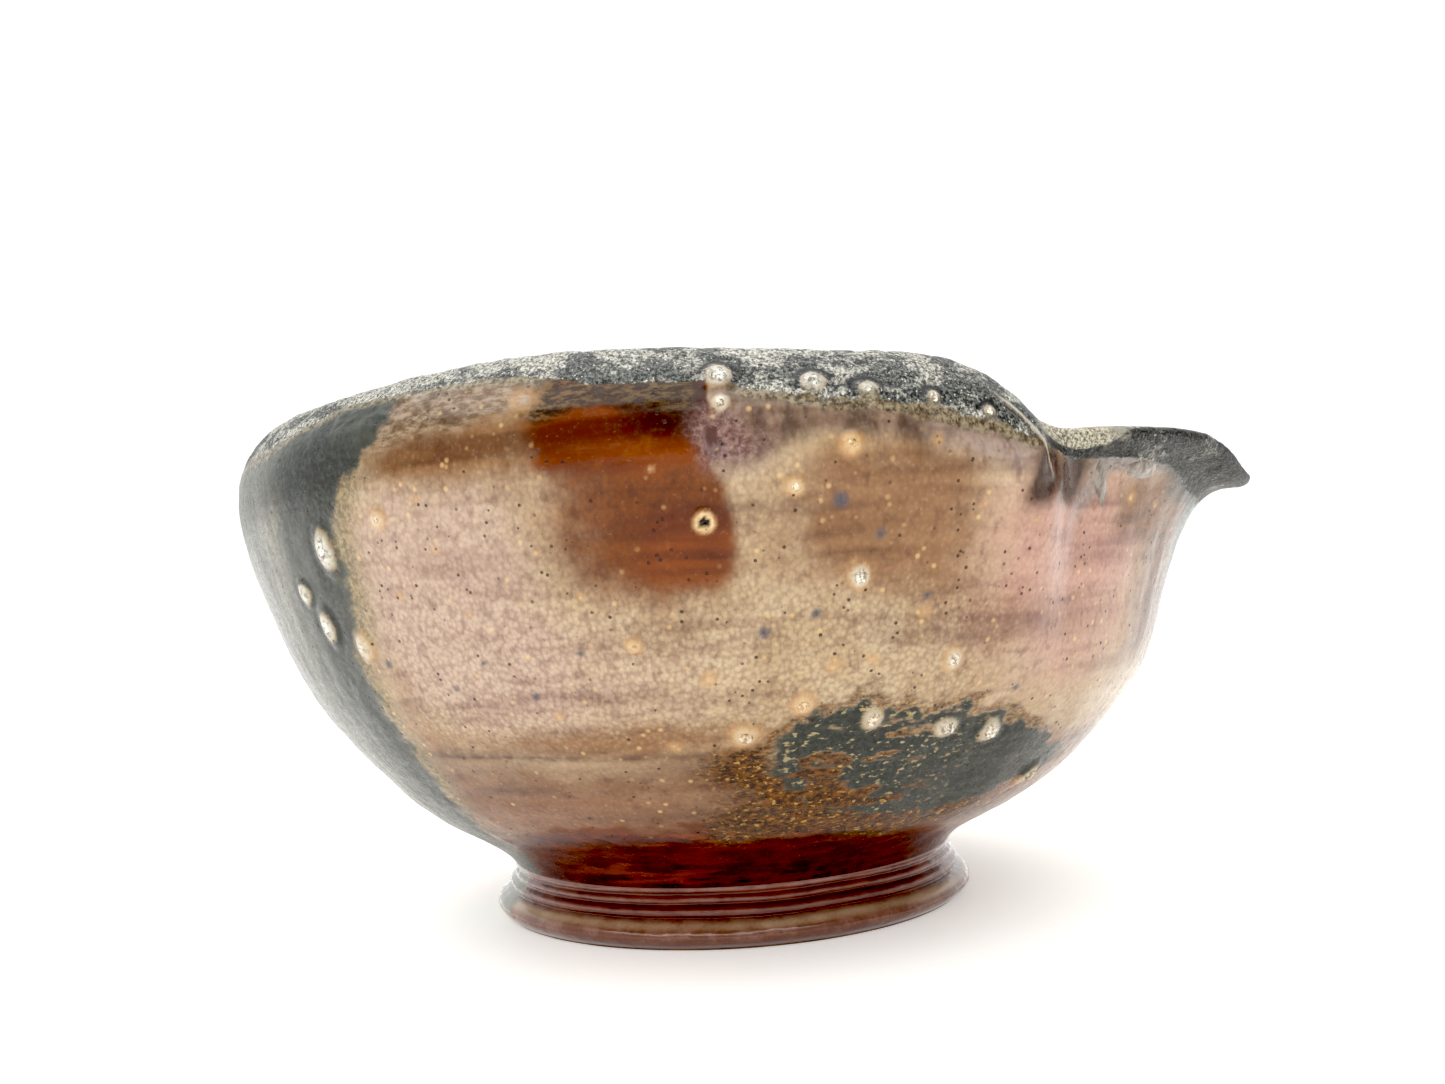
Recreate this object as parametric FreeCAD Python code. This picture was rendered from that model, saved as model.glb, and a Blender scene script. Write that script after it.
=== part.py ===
import FreeCAD, Part
import math
import os
from FreeCAD import Vector

# A hand-thrown, wood-fired tea bowl with a pouring lip, in millimetres.
# +X points along the lip, +Z is up, and the origin is the centre of the foot, on its resting plane.

JOINT_Z = 7.0           # height of the flat joint between the foot ring and the bowl
COAT = 0.5              # thickness of every glaze coat
FOOT_BASE_R = 31.4      # outer radius of the flat the bowl rests on
FOOT_HOLLOW_R = 25.2    # inner radius of that flat
FOOT_TOP_HOLLOW_R = 23.8
AXIS_DRIFT = (1.28, 0.43)  # how far the rim's centre leans away from the foot's centre
RIM_HEIGHT = 64.4       # rim height, before its two low humps are added
LEFT_HUMP = (1.9, 88.0, 24.0)  # rise, angle from the lip and width of the hump on the -Y side
RIGHT_HUMP = (1.3, 96.0, 30.0)  # the same on the +Y side
RIM_FALL = 8.0          # how far the rim falls on its way to the lip
FALL_ANGLE = 32.0       # it is lowest within this many degrees of the lip's middle
FALL_WIDTH = 10.0       # and it has risen again this many degrees further on
DRAWN_RIM_HEIGHT = 66.3  # the height WALL is drawn for
LIP_Z = 56.9            # height of the lip beside its beak
DRAWN_LIP_Z = 52.7      # the height POUR is drawn for
DRAWN_LIP_R = 68.4      # the reach POUR is drawn for
BEAK_DROP = 4.4         # how far the beak hangs below the rest of the lip
BEAK_HALF_ANGLE = 12.0  # degrees
BEAK_ROUNDNESS = 2.5    # power of its outline: higher is flatter at the middle
LIP_PULL_BACK = 7.0     # how much less the lip reaches out at its folds than at its beak
LIP_ROUNDNESS = 1.6     # power of its outline seen from above
LIP_LIMIT = 45.0        # the lip's formulas hold up to this many degrees
NOTCH_ANGLE = 36.0      # degrees from the lip's middle to the fold at each side
FOLD_HALF_ANGLE = 5.0   # half the width of that fold, degrees
STATIONS = 120          # places round the bowl where the section is worked out
LIP_CUT_Z = 44.0        # the lip is worked up from the wall above this height
FAR = 120.0             # larger than the bowl

# Poles (radius, height) of the cubic section, from the foot joint up the outside,
# over the rim and down the inside to the floor of the bowl. WALL holds away from the lip.
WALL = [
    (29.8, 7.0), (32.0, 10.2), (40.1, 13.2), (48.5, 21.7), (56.4, 30.9),
    (60.4, 42.4), (64.2, 53.7), (63.6, 61.5), (60.8, 65.2), (58.6, 67.2),
    (56.4, 65.6), (57.4, 60.0), (58.6, 52.5), (55.8, 42.0), (51.0, 31.5),
    (42.5, 22.0), (31.5, 14.6), (19.5, 11.5), (8.0, 11.5),
]
# POUR is the same section through the middle of the lip.
POUR = [
    (29.8, 7.0), (32.0, 10.2), (40.8, 13.0), (48.9, 21.2), (56.0, 29.8),
    (58.0, 39.6), (61.2, 47.6), (64.6, 51.0), (68.6, 50.8), (69.2, 52.4),
    (67.2, 53.2), (63.6, 52.2), (59.0, 48.4), (54.6, 41.0), (50.0, 31.4),
    (42.2, 22.0), (31.5, 14.6), (19.5, 11.5), (8.0, 11.5),
]
# How far each pole follows the rim's height, the lip's outline and the leaning axis.
RIM_SHARE = [0, 0, 0, 0, 0.02, 0.12, 0.45, 0.85, 1, 1, 1, 0.9, 0.6, 0.25, 0.05, 0, 0, 0, 0]
LIP_SHARE = [0, 0, 0, 0, 0, 0.05, 0.3, 0.7, 1, 1, 1, 0.8, 0.4, 0.1, 0, 0, 0, 0, 0]
DRIFT_SHARE = [0, 0.1, 0.4, 0.7, 0.9] + [1] * 14

DEGREE = 3
LAST_SPAN = len(WALL) - DEGREE  # the section's parameter runs from 0 to this
RIM_START = 6.4         # section parameter where the rim's ash coat begins, outside
RIM_END = 8.8           # and where it ends, inside

# Foot ring, outside surface of its glaze: a rounded band at the base, a groove, and the waist
# up to the joint (radius, height).
FOOT_OUTSIDE = [
    (31.75, 0.8), (32.0, 1.6), (31.7, 2.5), (30.65, 3.4), (30.2, 4.6), (29.6, 5.9), (29.8, 7.0),
]

# Feldspar stones that broke through the wall: (degrees from the lip, section parameter, radius).
STONES = [
    (-71.0, 6.5, 1.5), (-71.0, 5.95, 1.0), (-63.0, 6.35, 1.4), (-58.0, 6.15, 1.3),
    (-52.0, 6.05, 1.0), (-46.5, 5.9, 0.9), (-60.0, 5.35, 1.1), (-65.0, 4.9, 1.0),
    (-59.0, 4.05, 1.1), (-48.0, 3.25, 1.0), (-64.0, 2.9, 1.3), (-70.0, 2.6, 1.6),
    (-56.0, 2.7, 1.4), (-46.0, 2.5, 1.5), (-39.0, 2.4, 1.6), (-23.0, 1.65, 1.5),
    (-80.5, 3.55, 0.9), (-105.0, 4.85, 1.1), (-114.0, 4.6, 1.7), (-118.5, 3.85, 1.5),
    (-113.0, 3.65, 1.3), (-121.0, 4.2, 1.2), (-158.0, 5.2, 1.4), (168.0, 3.4, 1.5),
    (141.0, 5.6, 1.2), (118.0, 2.7, 1.5), (92.0, 5.0, 1.3), (74.0, 3.5, 1.2), (52.0, 5.6, 1.2),
]
STONE_SINK = 0.5        # share of its radius by which a stone's centre lies under the glaze

# Runs of melted ash beside the folds of the lip:
# (degrees from the lip, section parameter, half width, half length, half thickness).
DRIPS = [
    (-29.5, 5.5, 0.9, 3.6, 0.7), (29.0, 5.5, 0.9, 3.4, 0.7), (-22.8, 5.85, 2.6, 1.2, 0.7),
    (-72.5, 5.45, 1.8, 2.8, 0.6), (104.0, 5.7, 1.6, 3.2, 0.7), (-168.0, 5.7, 1.5, 3.0, 0.7),
]


def smooth_step(low, high, value):
    share = min(max((value - low) / (high - low), 0.0), 1.0)
    return share * share * (3 - 2 * share)


def bell(value, middle, width):
    return math.exp(-(((value - middle) / width) ** 2))


def rim_height(degrees):
    """Height of the rim's crest: a low hump on each side and a steep fall to the lip's folds."""
    away = abs(degrees)
    rise, middle, width = LEFT_HUMP if degrees < 0 else RIGHT_HUMP
    fall = RIM_FALL * bell(max(away, FALL_ANGLE), FALL_ANGLE, FALL_WIDTH)
    return RIM_HEIGHT + rise * bell(away, middle, width) - fall


def lip_edge(degrees):
    """Height and reach of the lip's edge; it hangs lowest and reaches furthest at its middle."""
    away = min(abs(degrees), LIP_LIMIT)
    height = LIP_Z - BEAK_DROP * math.exp(-((away / BEAK_HALF_ANGLE) ** BEAK_ROUNDNESS))
    reach = DRAWN_LIP_R - LIP_PULL_BACK * (away / NOTCH_ANGLE) ** LIP_ROUNDNESS
    return height, reach


def section(degrees):
    """Poles (radius, height) of the section at this angle from the lip."""
    rise = rim_height(degrees) - DRAWN_RIM_HEIGHT
    lip_z, lip_r = lip_edge(degrees)
    pour = 1 - smooth_step(NOTCH_ANGLE - FOLD_HALF_ANGLE, NOTCH_ANGLE + FOLD_HALF_ANGLE, abs(degrees))
    poles = []
    for wall, lip, rim_share, lip_share in zip(WALL, POUR, RIM_SHARE, LIP_SHARE):
        lip_pole_r = lip[0] + (lip_r - DRAWN_LIP_R) * lip_share
        lip_pole_z = lip[1] + (lip_z - DRAWN_LIP_Z) * lip_share
        wall_pole_z = wall[1] + rise * rim_share
        poles.append((
            wall[0] + (lip_pole_r - wall[0]) * pour,
            wall_pole_z + (lip_pole_z - wall_pole_z) * pour,
        ))
    return poles


def sunk(poles, depth):
    """The section moved into the clay by depth; its first pole moves level and its last one down."""
    moved = []
    for i, (r, z) in enumerate(poles):
        before = poles[max(i - 1, 0)]
        after = poles[min(i + 1, len(poles) - 1)]
        run, rise = after[0] - before[0], after[1] - before[1]
        if i == 0:
            run, rise = 0.0, 1.0
        if i >= len(poles) - 2:
            run, rise = -1.0, 0.0
        length = math.hypot(run, rise)
        moved.append((r - depth * rise / length, z + depth * run / length))
    return moved


def skin(depth):
    """The bowl's whole surface, depth below the glaze: round the bowl in U, along the section in V."""
    columns = [[] for _ in WALL]
    for station in range(STATIONS):
        degrees = 360.0 * station / STATIONS
        if degrees > 180:
            degrees -= 360
        angle = math.radians(degrees)
        for column, (r, z), share in zip(columns, sunk(section(degrees), depth), DRIFT_SHARE):
            column.append(Vector(
                r * math.cos(angle) + AXIS_DRIFT[0] * share,
                r * math.sin(angle) + AXIS_DRIFT[1] * share,
                z,
            ))
    rings = []
    for column in columns:
        ring = Part.BSplineCurve()
        ring.interpolate(Points=column, PeriodicFlag=True, Parameters=list(range(STATIONS + 1)))
        rings.append(ring)
    poles = [list(row) for row in zip(*[ring.getPoles() for ring in rings])]
    along_knots = list(range(LAST_SPAN + 1))
    along_mults = [DEGREE + 1] + [1] * (LAST_SPAN - 1) + [DEGREE + 1]
    surface = Part.BSplineSurface()
    surface.buildFromPolesMultsKnots(
        poles, rings[0].getMultiplicities(), along_mults, rings[0].getKnots(), along_knots,
        True, False, DEGREE, DEGREE)
    return surface


def band(surface, start, end):
    """The face of the surface between two section parameters, all round."""
    return surface.toShape(0, STATIONS, start, end)


def ring_edge(surface, at):
    return surface.vIso(at).toShape()


def flat_disc(surface, at):
    return Part.Face(Part.Wire([ring_edge(surface, at)]))


def closed_solid(faces):
    sewn = Part.Compound(faces)
    sewn.sewShape()
    solid = Part.Solid(sewn.Shells[0])
    if solid.Volume < 0:
        solid.reverse()
    return solid


def coat(outer, inner, start, end):
    """A glaze coat: the space between two skins from start to end along the section."""
    faces = [band(outer, start, end), band(inner, start, end)]
    for at in (start, end):
        if at == LAST_SPAN:
            faces += [flat_disc(outer, at), flat_disc(inner, at)]
        else:
            faces.append(Part.makeRuledSurface(ring_edge(outer, at), ring_edge(inner, at)))
    return closed_solid(faces)


def filled(surface):
    """Everything the skin encloses, closed by the flat joint below and the flat floor inside."""
    faces = [band(surface, 0, LAST_SPAN), flat_disc(surface, 0), flat_disc(surface, LAST_SPAN)]
    return closed_solid(faces)


def lip_wedge():
    """The space above LIP_CUT_Z between the folds at the two sides of the lip."""
    half = math.radians(NOTCH_ANGLE)
    corners = [(0, 0), (FAR, -FAR * math.tan(half)), (FAR, FAR * math.tan(half)), (0, 0)]
    outline = Part.makePolygon([Vector(x, y, LIP_CUT_Z) for x, y in corners])
    return Part.Face(outline).extrude(Vector(0, 0, FAR))


def turned(profile):
    """A solid of revolution about Z from a closed list of edges in the XZ plane."""
    return Part.Face(Part.Wire(Part.__sortEdges__(profile))).revolve(Vector(0, 0, 0), Vector(0, 0, 1), 360)


def points_at(pairs):
    return [Vector(r, 0, z) for r, z in pairs]


def spline_edge(pairs):
    curve = Part.BSplineCurve()
    curve.interpolate(Points=points_at(pairs))
    return curve.toShape()


def line_edges(pairs):
    points = points_at(pairs)
    return [Part.makeLine(a, b) for a, b in zip(points, points[1:])]


def foot_ring():
    """The clay ring the bowl stands on: flat below, waisted outside, hollow inside."""
    outside = [(r - COAT, z) for r, z in FOOT_OUTSIDE]
    rest = line_edges([
        outside[-1], (FOOT_TOP_HOLLOW_R, JOINT_Z), (FOOT_HOLLOW_R, 0), (FOOT_BASE_R - COAT, 0), outside[0],
    ])
    return turned([spline_edge(outside)] + rest)


def foot_glaze():
    outside = FOOT_OUTSIDE
    inside = [(r - COAT, z) for r, z in FOOT_OUTSIDE]
    ends = line_edges([outside[0], inside[0]]) + line_edges([outside[-1], inside[-1]])
    return turned([spline_edge(outside), spline_edge(inside)] + ends)


def on_skin(surface, degrees, at):
    """A point of the skin and its outward normal."""
    u = (degrees % 360) / 360.0 * STATIONS
    point = surface.value(u, at)
    normal = surface.normal(u, at)
    if normal.x * point.x + normal.y * point.y < 0:
        normal = -normal
    return point, normal


def stones(surface, bowl):
    """The round heads of the stones, as far as they stand out of the glaze."""
    heads = []
    for degrees, at, radius in STONES:
        point, normal = on_skin(surface, degrees, at)
        ball = Part.makeSphere(radius, point - normal * (radius * STONE_SINK), normal)
        heads.append(ball.cut(bowl))
    return heads


def drips(surface, bowl):
    """Long drops of glass lying on the skin; what would be inside the bowl is cut away."""
    drops = []
    for degrees, at, half_width, half_length, half_thickness in DRIPS:
        point, normal = on_skin(surface, degrees, at)
        drop = Part.makeSphere(1)
        stretch = FreeCAD.Matrix()
        stretch.scale(half_width, half_length, half_thickness)
        drop = drop.transformGeometry(stretch)
        sideways = Vector(0, 0, 1).cross(normal)
        turn = FreeCAD.Rotation(sideways, normal.cross(sideways), normal, "ZXY")
        drop.Placement = FreeCAD.Placement(point, turn)
        drops.append(drop.cut(bowl))
    return drops


def export(name, shape):
    shape.exportStep("parts/" + name + ".step")
    print(name, "solids", len(shape.Solids), "valid", shape.isValid(), "volume", round(shape.Volume, 1))


def main():
    os.makedirs("parts", exist_ok=True)
    glaze_skin = skin(0)
    clay_skin = skin(COAT)
    clay = filled(clay_skin)
    bowl = filled(glaze_skin)
    wedge = lip_wedge()
    export("bowl_body", clay.cut(wedge))
    export("pouring_lip", clay.common(wedge))
    export("foot_ring", foot_ring())
    export("outer_glaze", coat(glaze_skin, clay_skin, 0, RIM_START))
    export("rim_ash_glaze", coat(glaze_skin, clay_skin, RIM_START, RIM_END))
    export("inner_glaze", coat(glaze_skin, clay_skin, RIM_END, LAST_SPAN))
    export("foot_glaze", foot_glaze())
    export("feldspar_stones", Part.Compound(stones(glaze_skin, bowl)))
    export("ash_drips", Part.Compound(drips(glaze_skin, bowl)))


main()
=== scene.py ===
"""Looks of a hand-thrown, wood-fired matcha bowl: glazes, ash, feldspar stones, foot and studio.

Lengths inside the shape functions are in millimetres, and meshes are written in metres.
Angles are in degrees about the foot's axis, and 0 is the middle of the pouring lip.
"""

import math

import bpy
import numpy as np
from mathutils import Matrix, Vector


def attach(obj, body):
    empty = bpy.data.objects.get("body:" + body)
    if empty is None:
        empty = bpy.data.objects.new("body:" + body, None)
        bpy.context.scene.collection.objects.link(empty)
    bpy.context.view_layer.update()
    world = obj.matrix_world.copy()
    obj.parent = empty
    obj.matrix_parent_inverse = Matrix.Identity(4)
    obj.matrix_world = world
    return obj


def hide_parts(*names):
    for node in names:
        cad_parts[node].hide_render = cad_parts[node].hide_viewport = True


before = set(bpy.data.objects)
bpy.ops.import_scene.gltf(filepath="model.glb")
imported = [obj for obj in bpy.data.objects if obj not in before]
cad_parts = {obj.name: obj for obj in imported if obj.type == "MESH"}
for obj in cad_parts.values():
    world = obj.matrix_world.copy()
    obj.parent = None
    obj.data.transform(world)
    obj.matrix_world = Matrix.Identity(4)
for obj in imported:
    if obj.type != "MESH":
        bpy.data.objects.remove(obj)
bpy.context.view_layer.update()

# ---------------------------------------------------------------- shape of the wall
MM = 0.001
# angles round the bowl, and how far the rim's axis lies from the foot's
STATIONS = 1080
AXIS_DRIFT = (1.28, 0.43)
RIM_HEIGHT = 64.4
DRAWN_RIM_HEIGHT = 66.3
LIP_Z = 56.9
BEAK_DROP = 4.4
DRAWN_LIP_Z = 52.7
DRAWN_LIP_R = 68.4
# places along the section, in spans: the outside comes before the rim, and the inside after it
RIM_START = 6.4
RIM_END = 8.8
LAST_SPAN = 16.0

# the section's poles, radius and height, in the wall and in the middle of the pouring lip
WALL = np.array([
    (29.8, 7.0), (32.0, 10.2), (40.1, 13.2), (48.5, 21.7), (56.4, 30.9), (60.4, 42.4), (64.2, 53.7),
    (63.6, 61.5), (60.8, 65.2), (58.6, 67.2), (56.4, 65.6), (57.4, 60.0), (58.6, 52.5), (55.8, 42.0),
    (51.0, 31.5), (42.5, 22.0), (31.5, 14.6), (19.5, 11.5), (8.0, 11.5)])
POUR = np.array([
    (29.8, 7.0), (32.0, 10.2), (40.8, 13.0), (48.9, 21.2), (56.0, 29.8), (58.0, 39.6), (61.2, 47.6),
    (64.6, 51.0), (68.6, 50.8), (69.2, 52.4), (67.2, 53.2), (63.6, 52.2), (59.0, 48.4), (54.6, 41.0),
    (50.0, 31.4), (42.2, 22.0), (31.5, 14.6), (19.5, 11.5), (8.0, 11.5)])
# how much each pole follows the rim's height, the lip's place, and the drift of the axis
RIM_SHARE = np.array([0, 0, 0, 0, 0.02, 0.12, 0.45, 0.85, 1, 1, 1, 0.9, 0.6, 0.25, 0.05, 0, 0, 0, 0])
LIP_SHARE = np.array([0, 0, 0, 0, 0, 0.05, 0.3, 0.7, 1, 1, 1, 0.8, 0.4, 0.1, 0, 0, 0, 0, 0])
DRIFT_SHARE = np.array([0, 0.1, 0.4, 0.7, 0.9] + [1.0] * 14)
# the foot's outside, radius and height, and the heights of its turned ridges
FOOT_OUTSIDE = [
    (31.2, 0.25), (31.75, 0.8), (32.0, 1.6), (31.7, 2.5), (30.9, 3.2), (30.35, 4.2), (29.9, 5.0),
    (29.6, 5.9), (29.8, 7.0)]
FOOT_RIDGES = [4.3, 5.45, 6.55]
# the rim's hump on each side and its dip at the lip: height, degrees away from the lip, and width
NEAR_HUMP = (1.9, 88, 24)
FAR_HUMP = (1.3, 96, 30)
LIP_DIP = (8.0, 32, 10)
# no hollow in the glaze goes deeper than this, so that the clay under the coat stays covered
DEEPEST = 0.42
# how far each feature stands off the plain wall, in mm
STAND = {"broad": 0.16, "runs": 0.07, "skin": 0.02, "grit": 0.10, "lines": 0.035,
         "fold": -0.2, "fold_ridge": 0.10, "stone": 0.42, "stone_ditch": -0.07,
         "dent": -0.30, "dent_rim": 0.05, "hole": -0.4, "hole_rim": 0.22}
# how many places along the section each mesh has
OUTER_ROWS = 200
RIM_ROWS = 52
INNER_ROWS = 74
FOOT_ROWS = 72
# the rings that close the bowl's floor, as shares of its radius, and how far its middle dips
FLOOR_RINGS = np.array([0.72, 0.45, 0.2, 0.02])
FLOOR_DIP = 0.25


def bell(x, middle, width):
    return np.exp(-(((x - middle) / width) ** 2))


def ease(low, high, x):
    """0 below low, 1 above high, and a smooth rise between them."""
    t = np.clip((x - low) / (high - low), 0, 1)
    return t * t * (3 - 2 * t)


def spline_basis(count, v):
    """Weights of a clamped uniform cubic spline's poles at the places v, counted in spans."""
    spans = count - 3
    knots = np.r_[[0.0] * 3, np.arange(spans + 1), [spans] * 3]
    x = np.clip(v, 0, spans - 1e-9)
    weights = [((knots[i] <= x) & (x < knots[i + 1])).astype(float) for i in range(len(knots) - 1)]
    for degree in (1, 2, 3):
        raised = []
        for i in range(len(weights) - 1):
            rise, fall = knots[i + degree] - knots[i], knots[i + degree + 1] - knots[i + 1]
            value = np.zeros_like(x)
            if rise > 0:
                value += (x - knots[i]) / rise * weights[i]
            if fall > 0:
                value += (knots[i + degree + 1] - x) / fall * weights[i + 1]
            raised.append(value)
        weights = raised
    return np.array(weights[:count]).T


def hill(x, height, middle, width):
    return height * bell(x, middle, width)


def rim_height(degrees):
    away = np.abs(degrees)
    hump = np.where(degrees < 0, hill(away, *NEAR_HUMP), hill(away, *FAR_HUMP))
    return RIM_HEIGHT + hump - hill(np.maximum(away, LIP_DIP[1]), *LIP_DIP)


def section_poles(degrees):
    """The section's poles (radius, height) at each angle."""
    away = np.abs(degrees)
    pour = (1 - ease(31, 41, away))[:, None, None]
    near = np.minimum(away, 45)
    lip_z = LIP_Z - BEAK_DROP * np.exp(-((near / 12) ** 2.5))
    lip_r = DRAWN_LIP_R - 7.0 * (near / 36) ** 1.6
    wall = np.repeat(WALL[None], len(degrees), 0)
    wall[:, :, 1] += (rim_height(degrees) - DRAWN_RIM_HEIGHT)[:, None] * RIM_SHARE
    lip = np.repeat(POUR[None], len(degrees), 0)
    lip[:, :, 1] += (lip_z - DRAWN_LIP_Z)[:, None] * LIP_SHARE
    lip[:, :, 0] += (lip_r - DRAWN_LIP_R)[:, None] * LIP_SHARE
    return wall * (1 - pour) + lip * pour


def wall_points(degrees, v):
    """A grid of points, one row per angle and one column per place along the section."""
    weights = spline_basis(len(WALL), v)
    section = np.einsum("mk,nkc->nmc", weights, section_poles(degrees))
    drift = weights @ DRIFT_SHARE
    turn = np.radians(degrees)[:, None]
    x = section[..., 0] * np.cos(turn) + drift * AXIS_DRIFT[0]
    y = section[..., 0] * np.sin(turn) + drift * AXIS_DRIFT[1]
    return np.stack([x, y, section[..., 1]], -1)


def grid_normals(points):
    """Outward normals of a grid that closes round its first axis."""
    around = np.roll(points, -1, 0) - np.roll(points, 1, 0)
    along = np.gradient(points, axis=1)
    normal = np.cross(around, along)
    return normal / np.maximum(np.linalg.norm(normal, axis=-1, keepdims=True), 1e-12)


# ---------------------------------------------------------------- noise
def lattice(ix, iy, iz, seed):
    """A fixed pseudo-random value from 0 to 1 for each whole-number place."""
    mixed = (ix * 73856093) ^ (iy * 19349663) ^ (iz * 83492791) ^ (seed * 2654435761)
    mixed = (mixed & 0xFFFFFFFF).astype(np.uint64)
    mixed = ((mixed ^ (mixed >> np.uint64(15))) * np.uint64(2246822519)) & np.uint64(0xFFFFFFFF)
    mixed = ((mixed ^ (mixed >> np.uint64(13))) * np.uint64(3266489917)) & np.uint64(0xFFFFFFFF)
    return (mixed ^ (mixed >> np.uint64(16))).astype(float) / 4294967295.0


def value_noise(points, seed):
    low = np.floor(points).astype(np.int64)
    t = points - low
    t = t * t * t * (t * (t * 6 - 15) + 10)
    total = 0
    for corner in range(8):
        bits = np.array([corner & 1, corner >> 1 & 1, corner >> 2 & 1])
        share = np.prod(np.where(bits == 1, t, 1 - t), axis=-1)
        total = total + share * lattice(*np.moveaxis(low + bits, -1, 0), seed)
    return total


def noise(points, size, seed, octaves=3):
    """Smooth noise from about -1 to 1; size is its largest feature in mm, along X, Y and Z."""
    total, weight, norm = 0, 1.0, 0.0
    scaled = points / np.asarray(size, float)
    for octave in range(octaves):
        total = total + weight * (value_noise(scaled * 2 ** octave, seed + octave) - 0.5)
        norm += weight
        weight *= 0.5
    return total / norm * 3.0


# ---------------------------------------------------------------- features of the surface
# stones: degrees from the lip, place along the section, radius in mm, how much taller than wide,
# and how white the bare stone is, from 0 (under golden glaze) to 1
STONES = [
    (-71.0, 6.5, 1.5, 1.0, 1.0), (-71.0, 5.95, 1.0, 1.0, 0.8), (-63.0, 6.35, 1.4, 1.0, 1.0),
    (-58.0, 6.15, 1.3, 1.0, 1.0), (-52.0, 6.05, 1.0, 1.0, 0.9), (-46.5, 5.9, 0.9, 1.0, 0.8),
    (-60.0, 5.35, 1.1, 1.0, 0.1), (-65.0, 4.9, 1.0, 1.0, 0.4), (-59.0, 4.05, 1.1, 1.2, 0.8),
    (-48.0, 3.25, 1.0, 1.4, 0.7), (-64.0, 2.9, 1.3, 1.0, 0.2), (-70.0, 2.6, 1.6, 1.0, 0.4),
    (-56.0, 2.7, 1.4, 1.3, 0.6), (-46.0, 2.5, 1.5, 1.0, 0.8), (-39.0, 2.4, 1.6, 1.0, 0.8),
    (-23.0, 1.65, 1.5, 1.3, 0.7), (-80.5, 3.55, 0.9, 1.0, 0.2), (-105.0, 4.85, 1.1, 1.0, 0.5),
    (-114.0, 4.6, 1.7, 1.5, 1.0), (-118.5, 3.85, 1.5, 1.45, 1.0), (-113.0, 3.65, 1.3, 1.3, 0.7),
    (-121.0, 4.2, 1.2, 1.2, 1.0), (-158.0, 5.2, 1.4, 1.0, 0.7), (168.0, 3.4, 1.5, 1.2, 0.6),
    (141.0, 5.6, 1.2, 1.0, 0.8), (118.0, 2.7, 1.5, 1.0, 0.5), (92.0, 5.0, 1.3, 1.0, 0.3),
    (74.0, 3.5, 1.2, 1.0, 0.7), (52.0, 5.6, 1.2, 1.0, 0.8)]
# drips: degrees, place along the section, half width, half length and half thickness in mm, lean,
# and how far it stands proud
DRIPS = [
    (-29.0, 5.50, 1.25, 4.0, 0.7, -0.40, 0.24), (29.0, 5.5, 1.0, 3.6, 0.7, 0.35, 0.24),
    (-22.8, 5.80, 3.3, 1.5, 0.7, 0.0, 0.40), (-72.2, 5.45, 1.6, 2.4, 0.6, 0.0, 0.10),
    (104.0, 5.7, 1.6, 3.2, 0.7, 0.0, 0.24), (-168.0, 5.7, 1.5, 3.0, 0.7, 0.0, 0.24)]
# small cream and ochre freckles: degrees, place along the section, radius in mm
FRECKLES = [
    (-77.2, 5.11, 0.4), (-23.2, 5.2, 0.9), (-17.2, 5.09, 0.8), (-88.5, 6.15, 1.6), (-73.5, 3.2, 0.9),
    (-57.0, 3.3, 0.8), (-61.0, 3.25, 0.9), (-100.0, 5.0, 0.5), (-99.0, 4.5, 0.5), (-97.0, 3.9, 0.5),
    (-85.0, 4.0, 0.45), (-52.0, 3.7, 0.7), (-41.0, 4.6, 0.4), (-36.0, 4.0, 0.4), (-30.0, 4.3, 0.4),
    (-47.0, 4.7, 0.5), (-52.0, 5.4, 0.7), (-90.0, 2.9, 0.6), (-105.0, 4.1, 0.7), (-78.0, 2.5, 0.8)]
# soft blue-grey specks of iron: degrees, place along the section, radius in mm
SPECKS = [
    (-57.2, 4.43, 0.75), (-68.0, 3.6, 0.8), (-110.0, 3.47, 0.75), (-101.5, 3.2, 0.5), (-97.0, 3.45, 0.4),
    (-61.0, 4.75, 0.9), (-86.0, 3.5, 0.5), (-38.0, 2.9, 0.6), (-63.0, 3.75, 0.6), (-52.0, 3.85, 0.5),
    (-71.8, 5.35, 0.9), (-92.0, 3.1, 0.6), (150.0, 3.9, 0.7), (110.0, 4.4, 0.6), (66.0, 3.1, 0.7),
    (-140.0, 3.4, 0.6)]
# brown dents in the fold beside the lip: degrees, place, half width, half length in mm
DENTS = [
    (-39.4, 5.32, 1.8, 2.7), (-34.4, 5.60, 2.5, 2.1), (39.4, 5.32, 1.8, 2.7),
    (34.4, 5.60, 2.5, 2.1)]
PINHOLE = (-73.0, 4.59)
# stones above this place lie in the crust, and freckles wider than this, in mm, are white
IN_CRUST = 5.8
WHITE_FRECKLE = 1.2
# the distance, in ovals, that stands for every point well away from a place
FAR_OFF = 9.0


def surface_place(degrees, v):
    """The point, outward normal, upward tangent and sideways tangent of the wall at one place."""
    angles = np.array([degrees - 0.3, degrees, degrees + 0.3])
    spans = np.array([v - 0.03, v, v + 0.03])
    grid = wall_points(angles, spans)
    up = grid[1, 2] - grid[1, 0]
    side = grid[2, 1] - grid[0, 1]
    up, side = up / np.linalg.norm(up), side / np.linalg.norm(side)
    return grid[1, 1], np.cross(side, up), up, side


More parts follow.
